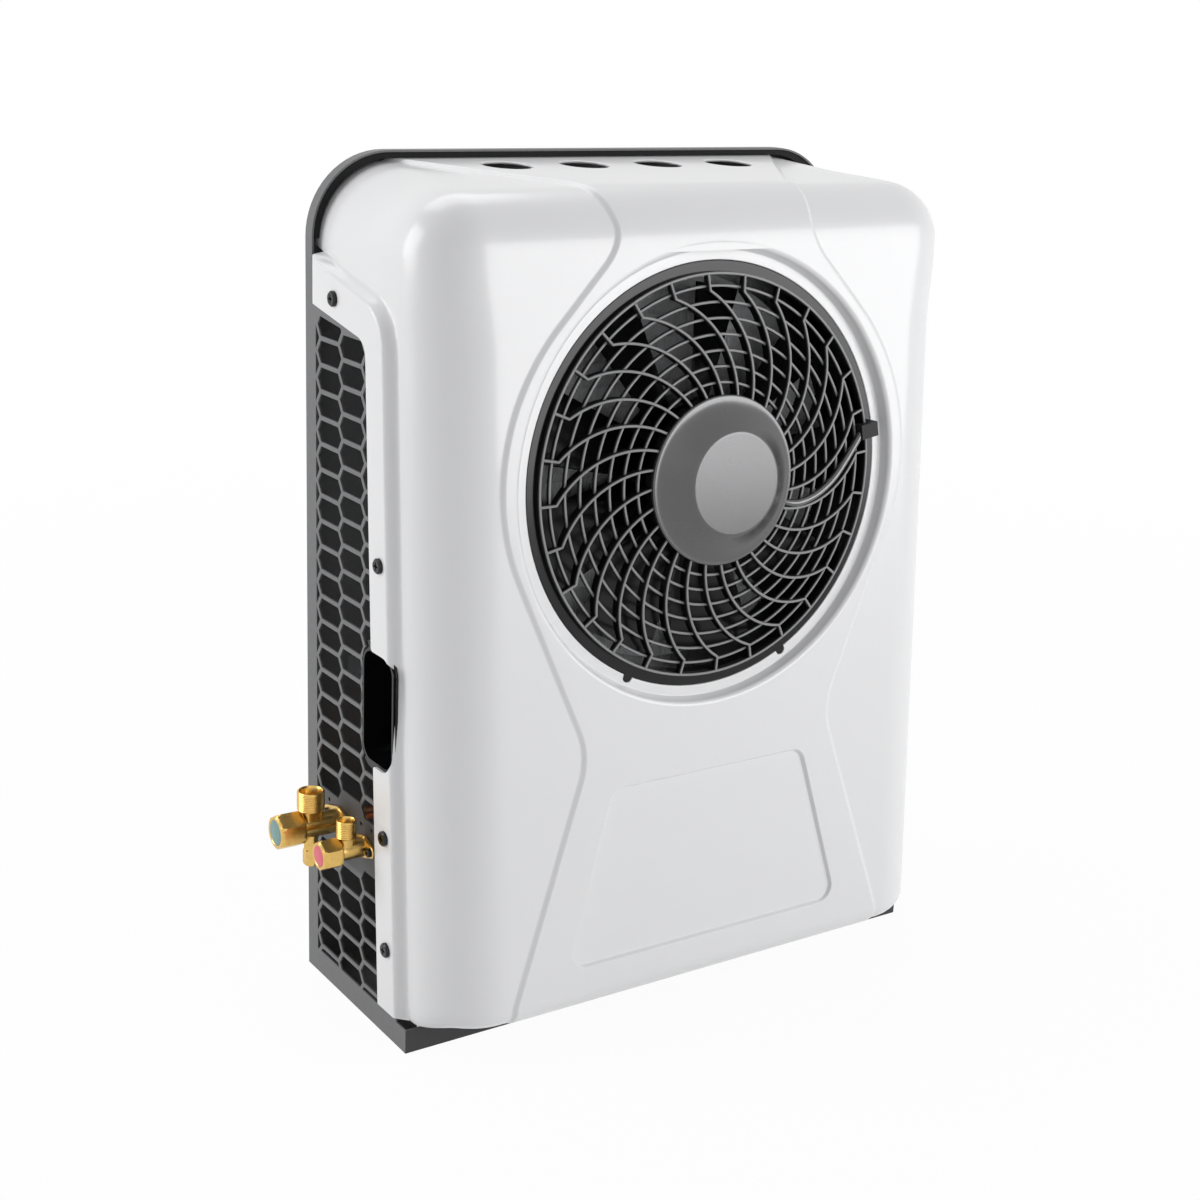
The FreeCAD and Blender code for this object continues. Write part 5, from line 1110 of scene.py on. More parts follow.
    def bands(self) -> None:
        """Sheet from the panel's crease round the corner on one side, row by row, and its chin.

        The height falls by a smooth step over the crease, and the corner is an arc.
        """
        c = self.size
        slope = np.gradient(self.crease, self.along)
        half = c.crease_half * np.sqrt(1 + slope ** 2)
        flat = c.half_width - self.radius
        end = flat + self.radius * self.side_depths()
        share = np.linspace(0, 1, self.CREASE_COLUMNS + 1)
        crease = (self.crease - half)[:, None] + 2 * half[:, None] * share
        rest = np.linspace(0, 1, self.SIDE_COLUMNS + 1)[1:]
        outer = (self.crease + half)[:, None] + (end - self.crease - half)[:, None] * rest
        place = np.hstack([crease, outer])
        raised = c.panel_raise * (1 - smooth(np.concatenate([share, np.ones(len(rest))])))
        turn = np.clip((place - flat[:, None]) / self.radius[:, None], 0, math.pi / 2)
        across = np.where(turn > 0, flat[:, None] + self.radius[:, None] * np.sin(turn), place)
        inward = c.panel_raise + self.radius[:, None] * (1 - np.cos(turn))
        normal = np.concatenate([np.sin(turn)[..., None], np.cos(turn)[..., None] * self.normal[:, None, :]], axis=-1)
        yz = self.row[:, None, :] - inward[..., None] * self.normal[:, None, :]
        sheet = np.concatenate([across[..., None], yz], axis=-1) + raised[None, :, None] * normal
        sheet[:, -1, 0] = c.half_width
        sheet[..., 1] = np.minimum(sheet[..., 1], c.rear)
        curl = c.chin * (1 - self.CHIN_FADE * smooth((turn[0] - self.CHIN_FADE_FROM) / self.CHIN_FADE_SPAN))
        chin = self.chin_rows(sheet[0], normal[0], curl)
        self.add_grid(np.vstack([chin[::-1], sheet]), np.vstack([np.tile(normal[:1], (len(chin), 1, 1)), normal]),
                      mirror=True)
        self.inner_edge = sheet[:, 0]
        self.outer_edge = np.vstack([chin[:-1, -1][::-1], sheet[:, -1]])
        self.chin_count = len(chin) - 1

    def chin_rows(self, start: np.ndarray, normal: np.ndarray, curl: np.ndarray) -> np.ndarray:
        """Rows that roll under the foot over a quarter turn: down with its sine, in with one less its cosine.

        Args:
            start: Points of the sheet's lowest row.
            normal: Outward normals there.
            curl: How far each point rolls in.

        Returns:
            The rows below the start, ending on the underside.
        """
        c = self.size
        turn = np.linspace(0, math.pi / 2, self.CHIN_STEPS + 1)[1:, None, None]
        down = np.array([0.0, -self.front_up[0], -self.front_up[1]])
        drop = (start[:, 2] - c.foot - curl * normal[:, 2]) / self.front_up[1]
        rows = start + np.sin(turn) * drop[:, None] * down - (1 - np.cos(turn)) * curl[:, None] * normal
        under = rows[-1].copy()
        under[:, 1] = np.maximum(under[:, 1], c.under_edge)
        return np.concatenate([rows, under[None]])

    def middle(self) -> None:
        """Raised panel between the creases: front with its openings, brow, top with its vents, chin."""
        c = self.size
        columns = np.linspace(-1, 1, self.CENTRE_COLUMNS + 1)
        edge = self.inner_edge[:, 0]
        spans = edge[:, None] * columns
        front, brow_end = self.front_rows, self.front_rows + self.BROW_STEPS
        strip = np.concatenate([spans[..., None], np.repeat(self.row[:, None], len(columns), axis=1)], axis=-1)
        self.add_grid(strip[front - 1:brow_end], self.AHEAD_UP)
        normal = np.tile(np.array([0.0, *self.front_normal]), (len(columns), 1))
        chin = self.chin_rows(strip[0], normal, np.full(len(columns), c.chin))
        self.add_grid(np.concatenate([chin[::-1], strip[:1]]), self.AHEAD_DOWN)
        border = self.panel_border(edge[:front], self.up, columns)
        ring = self.ring_loop(c.ring_edge)
        plate = self.plate_loop(c.plate_soft)
        flat, triangles = self.triangulate(border, [ring, plate], [])
        self.add(self.on_front(flat[:, 0], flat[:, 1]), triangles, self.AHEAD)
        run = np.concatenate([[0.0], self.back_steps])
        border = self.panel_border(edge[brow_end - 1:], run, columns)
        vents = [self.vent_loop(x, c.vent_roll) for x in self.vent_places()]
        flat, triangles = self.triangulate(border, vents, [])
        self.add(self.on_top(flat[:, 0], flat[:, 1]), triangles, self.UP)

    @staticmethod
    def panel_border(edge: np.ndarray, along: np.ndarray, columns: np.ndarray) -> np.ndarray:
        """Border of a flat panel: its first row, one side, its last row and the other side.

        Args:
            edge: Half width of the panel at each row.
            along: Place of each row along the panel.
            columns: Shares of the half width at which the first and last row have points.

        Returns:
            Points as rows of two coordinates.
        """
        first = np.stack([edge[0] * columns, np.full(len(columns), along[0])], axis=1)
        last = np.stack([edge[-1] * columns, np.full(len(columns), along[-1])], axis=1)
        side = np.stack([edge, along], axis=1)[1:-1]
        return np.vstack([first, side, last[::-1], (side * (-1, 1))[::-1]])

    def on_top(self, across: np.ndarray, back: np.ndarray, out: float = 0.0) -> np.ndarray:
        """Points of the raised top plane by their distances across, back from the brow and out."""
        yz = self.top_start + np.asarray(back)[..., None] * self.top_back + out * self.top_normal
        return np.concatenate([np.asarray(across)[..., None], yz], axis=-1)

    def ring_angles(self) -> np.ndarray:
        """Angles round the fan opening, closer together at the two lug notches.

        Returns:
            The angles in rising order.
        """
        c = self.size
        angles = circle(self.RING_STEPS)
        near = np.linspace(-1, 1, self.LUG_POINTS) * self.LUG_SPREAD * c.lug_clear_radius / c.lug_circle
        for lug in self.lug_angles():
            angles = angles[np.abs(within_half_turn(angles - lug)) > near[-1] * self.LUG_GAP]
            angles = np.concatenate([angles, (lug + near) % (2 * math.pi)])
        return np.sort(angles)

    def lug_angles(self) -> list[float]:
        """Angles of the two lugs, either side of straight down."""
        return [-math.pi / 2 + side * math.radians(self.size.lug_angle) for side in (-1, 1)]

    def ring_loop(self, radius: float) -> np.ndarray:
        """Circle about the fan in the front plane's coordinates."""
        return radius * directions(self.ring_angles()) + (0.0, self.size.fan_up)

    def fan_recess(self) -> None:
        """Sunken ring round the fan: a profile turned about the fan's axis, with the notches for the lugs."""
        c = self.size
        angles = self.ring_angles()
        lip = np.full(len(angles), c.opening_radius)
        for lug in self.lug_angles():
            away = within_half_turn(angles - lug) * c.lug_circle
            reach = np.sqrt(np.clip(c.lug_clear_radius ** 2 - away ** 2, 0, None))
            lip = np.where(np.abs(away) < c.lug_clear_radius, c.lug_circle + reach, lip)
        slope = math.atan2(c.lip_recess, c.recess_run)
        brim_turn = np.linspace(0, slope, self.BEND_POINTS)
        brim_in = c.ring_edge - c.brim_radius * np.sin(brim_turn)
        brim_down = -c.brim_radius * (1 - np.cos(brim_turn))
        foot_turn = brim_turn[::-1]
        foot_down = -c.lip_recess + c.recess_foot_radius * (1 - np.cos(foot_turn))
        run = (brim_down[-1] - foot_down[0]) / math.tan(slope)
        foot_in = brim_in[-1] - run - c.recess_foot_radius * (np.sin(slope) - np.sin(foot_turn))

        def row(reach: np.ndarray | float, height: float) -> np.ndarray:
            """One row of the profile, all round the fan."""
            return np.stack([reach + 0 * angles, height + 0 * angles], axis=1)

        rows = [row(r, h) for r, h in zip(np.append(brim_in, foot_in), np.append(brim_down, foot_down))]
        last = np.minimum(lip + c.lip_roll, foot_in[-1] - self.CLEAR)
        for turn in np.radians(self.LIP_TURNS):
            rows.append(row(last - c.lip_roll * math.sin(turn), -c.lip_recess - c.lip_roll * (1 - math.cos(turn))))
        rows.append(row(last - c.lip_roll, -c.lip_recess - c.lip_return))
        reach, out = np.moveaxis(closed(np.array(rows)), -1, 0)
        round_angles = np.append(angles, angles[0])
        grid = self.on_front(reach * np.cos(round_angles), c.fan_up + reach * np.sin(round_angles), out)
        inward = -self.RECESS_LEAN * directions(round_angles)
        outward = self.on_front(inward[:, 0], inward[:, 1], 1.0) - self.on_front(0.0, 0.0)
        self.add_grid(grid, np.broadcast_to(outward, grid.shape))

    def plate_loop(self, grow: float) -> np.ndarray:
        """Outline of the plate's place, a trapezoid with round corners.

        Args:
            grow: Distance by which it is let out.

        Returns:
            Points as rows of two coordinates.
        """
        c = self.size
        top, bottom, radius = c.plate_top + grow, c.plate_bottom - grow, c.plate_radius + grow
        foot, head = c.plate_bottom_half + grow, c.plate_top_half + grow
        return rounded_loop([(-foot, bottom, radius), (foot, bottom, radius), (head, top, radius),
                             (-head, top, radius)], self.PLATE_CORNER_STEPS)

    def plate_place(self) -> None:
        """Shallow place for the rating plate, its wall a soft step."""
        c = self.size
        share = np.linspace(0, 1, self.PLATE_ROWS)
        loops = np.array([self.plate_loop(c.plate_soft * (1 - 2 * t)) for t in share])
        depth = -c.plate_depth * smooth(share)
        across, up = np.moveaxis(closed(loops), -1, 0)
        self.add_grid(self.on_front(across, up, depth[:, None]), self.AHEAD)
        flat, triangles = self.triangulate(loops[-1], [], [])
        self.add(self.on_front(flat[:, 0], flat[:, 1], depth[-1]), triangles, self.AHEAD)

    def vent_places(self) -> list[float]:
        """Places of the vents across the unit."""
        return [(step - (self.VENTS - 1) / 2) * self.size.vent_pitch for step in range(self.VENTS)]

    def vent_loop(self, across: float, grow: float) -> np.ndarray:
        """Circle of a vent in the top plane's coordinates.

        Args:
            across: Place of the vent across the unit.
            grow: Distance by which it is let out.

        Returns:
            Points as rows of two coordinates.
        """
        c = self.size
        back = (c.back - c.vent_from_back - self.top_start[0]) / self.top_back[0]
        return (c.vent_radius + grow) * directions(circle(self.VENT_POINTS)) + (across, back)

    def vents(self) -> None:
        """Rounded rims of the vents, a quarter turn down into the sheet."""
        roll = self.size.vent_roll
        for across in self.vent_places():
            turn = np.linspace(0, math.pi / 2, self.VENT_ROWS)
            loops = np.array([self.vent_loop(across, roll * (1 - math.sin(t))) for t in turn])
            grid = self.on_top(*np.moveaxis(closed(loops), -1, 0))
            grid[..., 1:] -= (roll * (1 - np.cos(turn)))[:, None, None] * self.top_normal
            self.add_grid(grid, self.UP)

    def sides(self) -> None:
        """Side wall over the flange, and the flange with its soft step, window and grip notch."""
        c = self.size
        arc, _ = self.flange_corner()
        edge = self.outer_edge
        meet = self.chin_count + self.valley_rows
        flange_edge = np.stack([c.back - edge[:meet, 1], edge[:meet, 2]], axis=1)
        rest = np.stack([c.back - edge[meet:, 1], edge[meet:, 2]], axis=1)
        rest = rest[np.append(True, np.linalg.norm(np.diff(rest, axis=0), axis=1) > self.SAME_PLACE)]
        above = arc[arc[:, 1] > flange_edge[-1, 1] + self.ARC_GAP]
        depths = np.linspace(c.flange_back, above[0, 0], self.FLANGE_TOP_POINTS)[:-1]
        step = np.array([[d, self.joggle_at(d)] for d in depths])
        step = np.vstack([step, above])
        rear = np.array([[c.back - c.rear, self.joggle_at(c.back - c.rear)]])
        border = np.vstack([flange_edge[-1:], rest, rear, step])
        self.add_side(border, [], lambda flat: np.full(len(flat), c.half_width))
        line = np.vstack([step, flange_edge[::-1]])
        ahead = np.gradient(line, axis=0)
        ahead /= np.linalg.norm(ahead, axis=1)[:, None]
        inward = np.stack([ahead[:, 1], -ahead[:, 0]], axis=1)
        count = self.FLANGE_GUIDES
        guides = [line + inward * c.flange_step * k / count for k in range(1, count + 1)]
        window = self.window_loop()
        drop = np.linspace(c.flange_step, 0, self.FLANGE_CORNER_STEPS)[:-1] / math.cos(math.radians(c.flange_fall))
        corner = np.stack([np.full(len(drop), c.flange_back), self.joggle_at(c.flange_back) - drop], axis=1)
        border = np.vstack([line, window, corner])
        least = (c.flange_back + self.GUIDE_GAP, c.foot + self.GUIDE_GAP)
        guides = [guide[(guide > least).all(axis=1)] for guide in guides]

        def stand(flat: np.ndarray) -> np.ndarray:
            """Distance from the middle plane: a soft step from the flange's edge inwards, narrower at the rear.

            Args:
                flat: Points as distances from the back face and heights.

            Returns:
                The distance of each point.
            """
            near_rear = smooth((flat[:, 0] - c.flange_back) / c.flange_corner)
            width = c.flange_step * (self.REAR_STEP_SHARE + (1 - self.REAR_STEP_SHARE) * near_rear)
            return c.half_width + c.flange_stand * smooth(self.distance(flat, line) / width)

        self.add_side(border, guides, stand)

    def window_loop(self) -> np.ndarray:
        """Edge of the flange round the window, with the grip notch.

        Returns:
            Points from the foot up to the rear, as distances from the back face and heights.
        """
        c = self.size
        head = c.window_top - (c.window_front - c.flange_back) * math.tan(math.radians(c.window_fall))
        below, soft = c.foot - self.BELOW_FOOT, c.notch_soft
        corners = [(self.valley_at(c.foot), below, 0.0), (self.window_at(c.foot), below, 0.0),
                   (self.window_at(c.slot_low), c.slot_low, soft), (c.slot_front, c.slot_low, c.slot_radius),
                   (c.slot_front, c.slot_high, c.slot_radius), (self.window_at(c.slot_high), c.slot_high, soft),
                   (c.window_front, head, c.window_radius), (c.flange_back, c.window_top, 0.0)]
        loop = rounded_loop(corners, self.WINDOW_CORNER_STEPS)[2:]
        return np.vstack([[[self.window_at(c.foot), c.foot]], loop])

    def add_side(self, border: np.ndarray, guides: list[np.ndarray],
                 stand: Callable[[np.ndarray], np.ndarray]) -> None:
        """Adds a piece of the side wall and the same piece on the other side.

        Args:
            border: Outline as distances from the back face and heights.
            guides: Lines that the triangles follow.
            stand: Function that gives each point's distance from the middle plane.
        """
        flat, triangles = self.triangulate(border, [], guides)
        points = np.stack([stand(flat), self.size.back - flat[:, 0], flat[:, 1]], axis=1)
        self.add(points, triangles, np.array([1.0, 0.0, 0.0]), mirror=True)

    @staticmethod
    def distance(points: np.ndarray, line: np.ndarray) -> np.ndarray:
        """Shortest distance of each point to a line of points.

        Args:
            points: Points as rows of two coordinates.
            line: The line's points in order.

        Returns:
            The distance of each point.
        """
        a = line[:-1]
        along = line[1:] - a
        share = ((points[:, None] - a) * along).sum(-1) / np.maximum((along ** 2).sum(-1), TINY)
        nearest = a + np.clip(share, 0, 1)[..., None] * along
        return np.linalg.norm(points[:, None] - nearest, axis=-1).min(axis=1)

    def build(self) -> bpy.types.Object:
        """Makes the sheet, gives it its wall and lets it stand for the CAD cover.

        Returns:
            The cover.
        """
        self.bands()
        self.middle()
        self.fan_recess()
        self.plate_place()
        self.vents()
        self.sides()
        faces = [tuple(face) for block in self.faces for face in block.tolist()]
        mesh = merged_mesh("cover", np.vstack(self.points), faces, self.MERGE)
        cover = linked("cover", mesh)
        wall = cover.modifiers.new("wall", "SOLIDIFY")
        wall.thickness = self.size.wall * MM
        wall.offset = -1.0
        split = cover.modifiers.new("edges", "EDGE_SPLIT")
        split.split_angle = math.radians(self.size.sharp_angle)
        cover.modifiers.new("normals", "WEIGHTED_NORMAL")
        mesh.materials.append(self.finishes.material("white_plastic"))
        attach(cover, "housing")
        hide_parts("front_cover")
        return cover


# Pieces built as meshes


class MeshMaker:
    """Collects closed tubes of points, in millimetres, as the faces of one mesh."""

    MERGE = 1e-5

    def __init__(self) -> None:
        """Starts with no tube."""
        self.points: list[np.ndarray] = []
        self.shares: list[np.ndarray] = []
        self.faces: list[tuple[int, ...]] = []
        self.count = 0

    def add(self, grid: np.ndarray, share: np.ndarray | float = 0.0, ring: bool = False) -> None:
        """Adds a tube whose rows are its sections, each section closed on itself.

        The faces turn away from the middles of their sections.

        Args:
            grid: Points by section and by place round the section.
            share: How much of the finish's second colour each point shows, the guard's painted highlight.
            ring: Whether the last section joins the first, otherwise both ends are closed.
        """
        rows, columns = grid.shape[:2]
        index = np.arange(rows * columns).reshape(rows, columns)
        if ring:
            index = np.vstack([index, index[:1]])
        around = np.hstack([index, index[:, :1]])
        quads = np.stack([around[:-1, :-1], around[1:, :-1], around[1:, 1:], around[:-1, 1:]], axis=-1)
        flat = grid.reshape(-1, 3)
        corner = flat[quads]
        facing = np.cross(corner[..., 2, :] - corner[..., 0, :], corner[..., 3, :] - corner[..., 1, :])
        middle = flat[index].mean(axis=1)
        away = corner.mean(axis=-2) - ((middle[:-1] + middle[1:]) / 2)[:, None]
        turned = np.einsum("ijk,ijk->", facing, away) < 0
        faces = quads.reshape(-1, 4)
        ends = [] if ring else [index[0], index[-1][::-1]]
        if turned:
            faces = faces[:, ::-1]
            ends = [end[::-1] for end in ends]
        self.faces += [tuple(face) for face in (faces + self.count).tolist()]
        self.faces += [tuple(end) for end in (np.array(end) + self.count for end in ends)]
        self.points.append(flat)
        self.shares.append(np.broadcast_to(share, (rows, columns)).reshape(-1))
        self.count += rows * columns

    def turn(self, profile: np.ndarray, frame: Frame, steps: int, share: np.ndarray | float = 0.0) -> None:
        """Adds a closed profile of radii and heights, turned about the third axis in equal steps."""
        radius, height = np.asarray(profile, float).T
        self.add(frame.place(about_axis(radius, circle(steps)[:, None], height)), share, ring=True)

    def build(self, name: str, material: bpy.types.Material, body: str, *nodes: str,
              edge_angle: float = 35.0) -> bpy.types.Object:
        """Makes the mesh, lets it move with a body and stand for CAD nodes.

        Args:
            name: Name of the piece.
            material: Its material.
            body: CAD body it moves with.
            *nodes: CAD nodes it stands for.
            edge_angle: Angle from which an edge stays sharp, in degrees.

        Returns:
            The piece.
        """
        mesh = merged_mesh(name, np.vstack(self.points), self.faces, self.MERGE, np.concatenate(self.shares))
        mesh.materials.append(material)
        piece = linked(name, mesh)
        split = piece.modifiers.new("edges", "EDGE_SPLIT")
        split.split_angle = math.radians(edge_angle)
        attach(piece, body)
        if nodes:
            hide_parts(*nodes)
        return piece


@dataclass(frozen=True)
class Frame:
    """Local axes in the unit's frame, in millimetres.

    Args:
        origin: Origin of the local axes.
        first: Direction of the first local axis.
        second: Direction of the second.
        third: Direction of the third.
    """

    origin: tuple[float, float, float]
    first: tuple[float, float, float]
    second: tuple[float, float, float]
    third: tuple[float, float, float]

    def place(self, local: np.ndarray) -> np.ndarray:
        """Points of the local axes in the unit's frame."""
        return np.asarray(self.origin) + local @ np.array([self.first, self.second, self.third])


def fan_frame(cover: CoverSizes, height: float = 0.0) -> Frame:
    """Axes of the fan: across, up the leaning front and out of it.

    Args:
        cover: Sizes of the cover.
        height: Distance of the origin from the lip's plane.

    Returns:
        The axes.
    """
    lean = math.radians(cover.lean)
    out = height - cover.lip_recess
    origin = (0.0, cover.front_foot + cover.fan_up * math.sin(lean) - out * math.cos(lean),
              cover.fan_up * math.cos(lean) + out * math.sin(lean))
    return Frame(origin, (1.0, 0.0, 0.0), (0.0, math.sin(lean), math.cos(lean)),
                 (0.0, -math.cos(lean), math.sin(lean)))


@dataclass(frozen=True)
class GuardSizes:
    """Sizes of the fan guard, its cap and the motor lead in millimetres and degrees, as in the CAD source."""

    radius: float = 159.3
    bar: float = 2.2
    rim_height: float = 4.3
    rise: float = 12.8
    depth: float = 9.0
    hub_radius: float = 64.0
    hub_plate: float = 4.0
    seat: float = -0.5
    ribs: int = 28
    first_angle: float = 92.6
    kink: float = 145.5
    sweep: float = 28.0
    bow: float = 79.0
    rings: int = 7
    ring_first: float = 75.7
    ring_pitch: float = 12.15
    ring_depth: float = 3.0
    ring_back: float = 4.0
    shaft_clear: float = 6.0
    cap_radius: float = 66.9
    cap_face: float = 40.0
    cap_height: float = 18.3
    cap_gauge: float = 1.5
    cap_rim: float = 2.4
    cap_brim: float = 2.4
    cap_bend: float = 4.0
    cap_roll: float = 1.6
    cap_curve: float = 1.4
    lead_radius: float = 3.0
    lead_start: float = 4.0
    lead_clear: float = 0.1
    lead_route: tuple[tuple[float, float], ...] = (
        (42.0, -24.0), (76.0, -20.5), (90.0, -16.6), (105.0, -11.3), (120.0, -5.0), (135.0, 2.2), (147.0, 6.8),
        (154.5, 9.0))


class Guard:
    """Fan guard with soft edged ribs and rings, its cap and the motor lead."""

    RING_STEPS = 224
    CAP_STEPS = 144
    CAP_BEND_POINTS = 9
    CAP_CONE_POINTS = 16
    CAP_ROLL_POINTS = 8
    ARC_STEPS = 22
    STRAIGHT_STEPS = 3
    LEAD_COLUMNS = 20
    LEAD_ROUNDS = 4
    CORNER_CUT = 0.25
    EDGE_SHARE = 0.95
    # Rows: width share, drop under the front edge, share of the painted highlight on the front edge.
    EDGE = ((1.0, -2.4, 0.0), (1.0, -0.8, 0.25), (0.86, -0.28, 0.85), (0.5, 0.0, 1.0))

    def __init__(self, sizes: GuardSizes, cover: CoverSizes, finishes: FinishMaker) -> None:
        """Lays the fan's axes.

        Args:
            sizes: Sizes of the guard, its cap and the lead.
            cover: Sizes of the cover that it sits in.
            finishes: Maker of the materials.
        """
        self.size = sizes
        self.finishes = finishes
        self.cover = cover
        self.frame = fan_frame(cover)

    def dome(self, radius: np.ndarray | float) -> np.ndarray | float:
        """Height of the front edge at a radius, falling with the square of the radius."""
        g = self.size
        return g.rim_height + g.rise * (g.radius ** 2 - radius ** 2) / (g.radius ** 2 - g.hub_radius ** 2)

    def section(self, foot: np.ndarray) -> tuple[np.ndarray, np.ndarray, np.ndarray]:
        """Section of a bar: places across it, heights under its front edge, and its share of the painted highlight.

        Args:
            foot: Depth of the bar at each station.

        Returns:
            Places across, heights by station and place, shares of the painted highlight.
        """
        side = np.array(self.EDGE)
        half = self.size.bar / 2
        across = np.concatenate([[-half], -half * side[:, 0], half * side[::-1, 0], [half]])
        drop = np.concatenate([side[:, 1], side[::-1, 1]])
        share = np.concatenate([[0.0], side[:, 2], side[::-1, 2], [0.0]])
        foot = np.asarray(foot, float)
        heights = np.hstack([-foot[:, None], np.maximum(drop, -self.EDGE_SHARE * foot[:, None]), -foot[:, None]])
        return across, heights, share

    def rib_path(self) -> np.ndarray:
        """Middle line of the first rib: straight in from the rim, then an arc that bows out to the hub.

        Returns:
            Points as rows of two coordinates in the guard's plane.
        """
        g = self.size
        sweep = math.radians(g.sweep)
        start = np.array([g.kink, 0.0])
        end = g.hub_radius * np.array([math.cos(sweep), -math.sin(sweep)])
        chord = end - start
        normal = np.array([-chord[1], chord[0]]) / np.linalg.norm(chord)
        half = np.linalg.norm(chord) / 2
        centre = (start + end) / 2 - normal * math.sqrt(g.bow ** 2 - half ** 2)
        count = self.STRAIGHT_STEPS
        straight = np.stack([np.linspace(g.radius - g.bar / 2, g.kink, count + 1)[:-1], np.zeros(count)], axis=1)
        return np.vstack([straight, arc_points(centre, start, end, self.ARC_STEPS)])

    def add_ribs(self, maker: MeshMaker) -> None:
        """Adds the swept ribs, the first one turned about the axis.

        Args:
            maker: Mesh they are added to.
        """
        g = self.size
        path = self.rib_path()
        ahead = np.gradient(path, axis=0)
        ahead /= np.linalg.norm(ahead, axis=1)[:, None]
        side = np.stack([-ahead[:, 1], ahead[:, 0]], axis=1)
        top = self.dome(np.linalg.norm(path, axis=1))
        across, drop, share = self.section(np.minimum(g.depth, top - g.seat))
        flat = path[:, None] + across[:, None] * side[:, None]
        rib = np.concatenate([flat, (top[:, None] + drop)[..., None]], axis=-1)
        for index in range(g.ribs):
            turn = math.radians(g.first_angle - index * 360.0 / g.ribs)
            spin = np.array([[math.cos(turn), math.sin(turn), 0], [-math.sin(turn), math.cos(turn), 0], [0, 0, 1]])
            # The section's shares paint the rib's front edge lighter, a painted highlight.
            maker.add(self.frame.place(rib @ spin), share[None])

    def add_ring(self, maker: MeshMaker, radius: float, top: float, depth: float) -> None:
        """Adds one round bar about the axis.

        Args:
            maker: Mesh it is added to.
            radius: Radius of its middle.
            top: Height of its front edge.
            depth: Its depth.
        """
        across, drop, share = self.section(np.array([depth]))
        profile = np.stack([radius + across, top + drop[0]], axis=1)
        maker.turn(profile, self.frame, self.RING_STEPS, share[None])

    def build(self) -> list[bpy.types.Object]:
        """Makes the guard, the cap and the lead.

        Returns:
            The pieces.
        """
        g = self.size
        maker = MeshMaker()
        self.add_ribs(maker)
        for index in range(g.rings):
            radius = g.ring_first + index * g.ring_pitch
            self.add_ring(maker, radius, self.dome(radius) - g.ring_back, g.ring_depth)
        self.add_ring(maker, g.radius - g.bar / 2, g.rim_height, g.rim_height - g.seat)
        crown = self.dome(g.hub_radius)
        self.add_ring(maker, g.hub_radius + g.bar / 2, crown, g.depth)
        plate = [(g.shaft_clear, crown - g.hub_plate), (g.hub_radius, crown - g.hub_plate), (g.hub_radius, crown),
                 (g.shaft_clear, crown)]
        maker.turn(plate, self.frame, self.RING_STEPS // 2)
        guard = maker.build("guard", self.finishes.material("guard_plastic"), "housing", "fan_guard")
        return [guard, self.build_cap(), self.build_lead()]

    def build_cap(self) -> bpy.types.Object:
        """Makes the pressed cap: a low rim, a cone and a round face, each bend rounded.

        Returns:
            The cap.
        """
        g = self.size
        foot = np.array([g.cap_radius - g.cap_brim, g.cap_rim])
        slope = math.atan2(g.cap_height - g.cap_rim, foot[0] - g.cap_face)
        bend = self.roll_points(np.linspace(0, slope, self.CAP_BEND_POINTS), g.cap_bend)
        face_edge = bend + (g.cap_face - g.cap_bend * math.tan(slope / 2), g.cap_height)
        share = np.linspace(0, 1, self.CAP_CONE_POINTS)[1:]
        cone = face_edge[-1] + (foot - face_edge[-1]) * np.stack([share, 1 - (1 - share) ** g.cap_curve], axis=1)
        rim_roll = self.roll_points(np.linspace(0, math.pi / 2, self.CAP_ROLL_POINTS), g.cap_roll)
        rim_roll += (g.cap_radius - g.cap_roll, g.cap_rim)
        outer = np.vstack([[0.0, g.cap_height], face_edge, cone, rim_roll, [g.cap_radius, 0.0]])
        inner = np.maximum(outer[::-1] - g.cap_gauge, 0.0)
        maker = MeshMaker()
        maker.turn(np.vstack([outer, inner]), fan_frame(self.cover, g.rim_height + g.rise), self.CAP_STEPS)
        return maker.build("cap", self.finishes.material("hub_paint"), "housing", "motor_cap", edge_angle=50.0)

    @staticmethod
    def roll_points(turn: np.ndarray, radius: float) -> np.ndarray:
        """Rounded edge that starts level and turns down, as steps out and down from its start."""
        return radius * np.stack([np.sin(turn), np.cos(turn) - 1], axis=1)

    def build_lead(self) -> bpy.types.Object:
        """Makes the round lead along its route, its corners cut several times so that it bends softly.

        Returns:
            The lead.
        """
        g = self.size
        reach, angle = np.array(g.lead_route).T
        turn = np.radians(angle)
        over = self.dome(reach) - g.ring_back + g.lead_radius + g.lead_clear
        height = np.where(reach < g.hub_radius, g.lead_start, over)
        path = np.stack([reach * np.cos(turn), reach * np.sin(turn), height], axis=1)
        cut = self.CORNER_CUT
        for _ in range(self.LEAD_ROUNDS):
            early, late = (1 - cut) * path[:-1] + cut * path[1:], cut * path[:-1] + (1 - cut) * path[1:]
            path = np.vstack([path[:1], np.stack([early, late], axis=1).reshape(-1, 3), path[-1:]])
        maker = MeshMaker()
        maker.add(self.frame.place(tube_grid(path, g.lead_radius, self.LEAD_COLUMNS)))
        return maker.build("lead", self.finishes.material("cable"), "housing", "motor_lead", edge_angle=60.0)


def tube_grid(path: np.ndarray, radius: float, columns: int) -> np.ndarray:
    """Round tube about a path, its sections square to the path.

    Args:
        path: Points of the middle line.
        radius: Radius of the tube.
        columns: Points round each section.

    Returns:
        Points by section and by place round it.
    """
    ahead = np.gradient(path, axis=0)
    ahead /= np.linalg.norm(ahead, axis=1)[:, None]
    side = np.cross(ahead, (0.0, 0.0, 1.0))
    side /= np.linalg.norm(side, axis=1)[:, None]
    up = np.cross(side, ahead)
    angles = circle(columns)[:, None]
    return path[:, None] + radius * (np.cos(angles) * side[:, None] + np.sin(angles) * up[:, None])


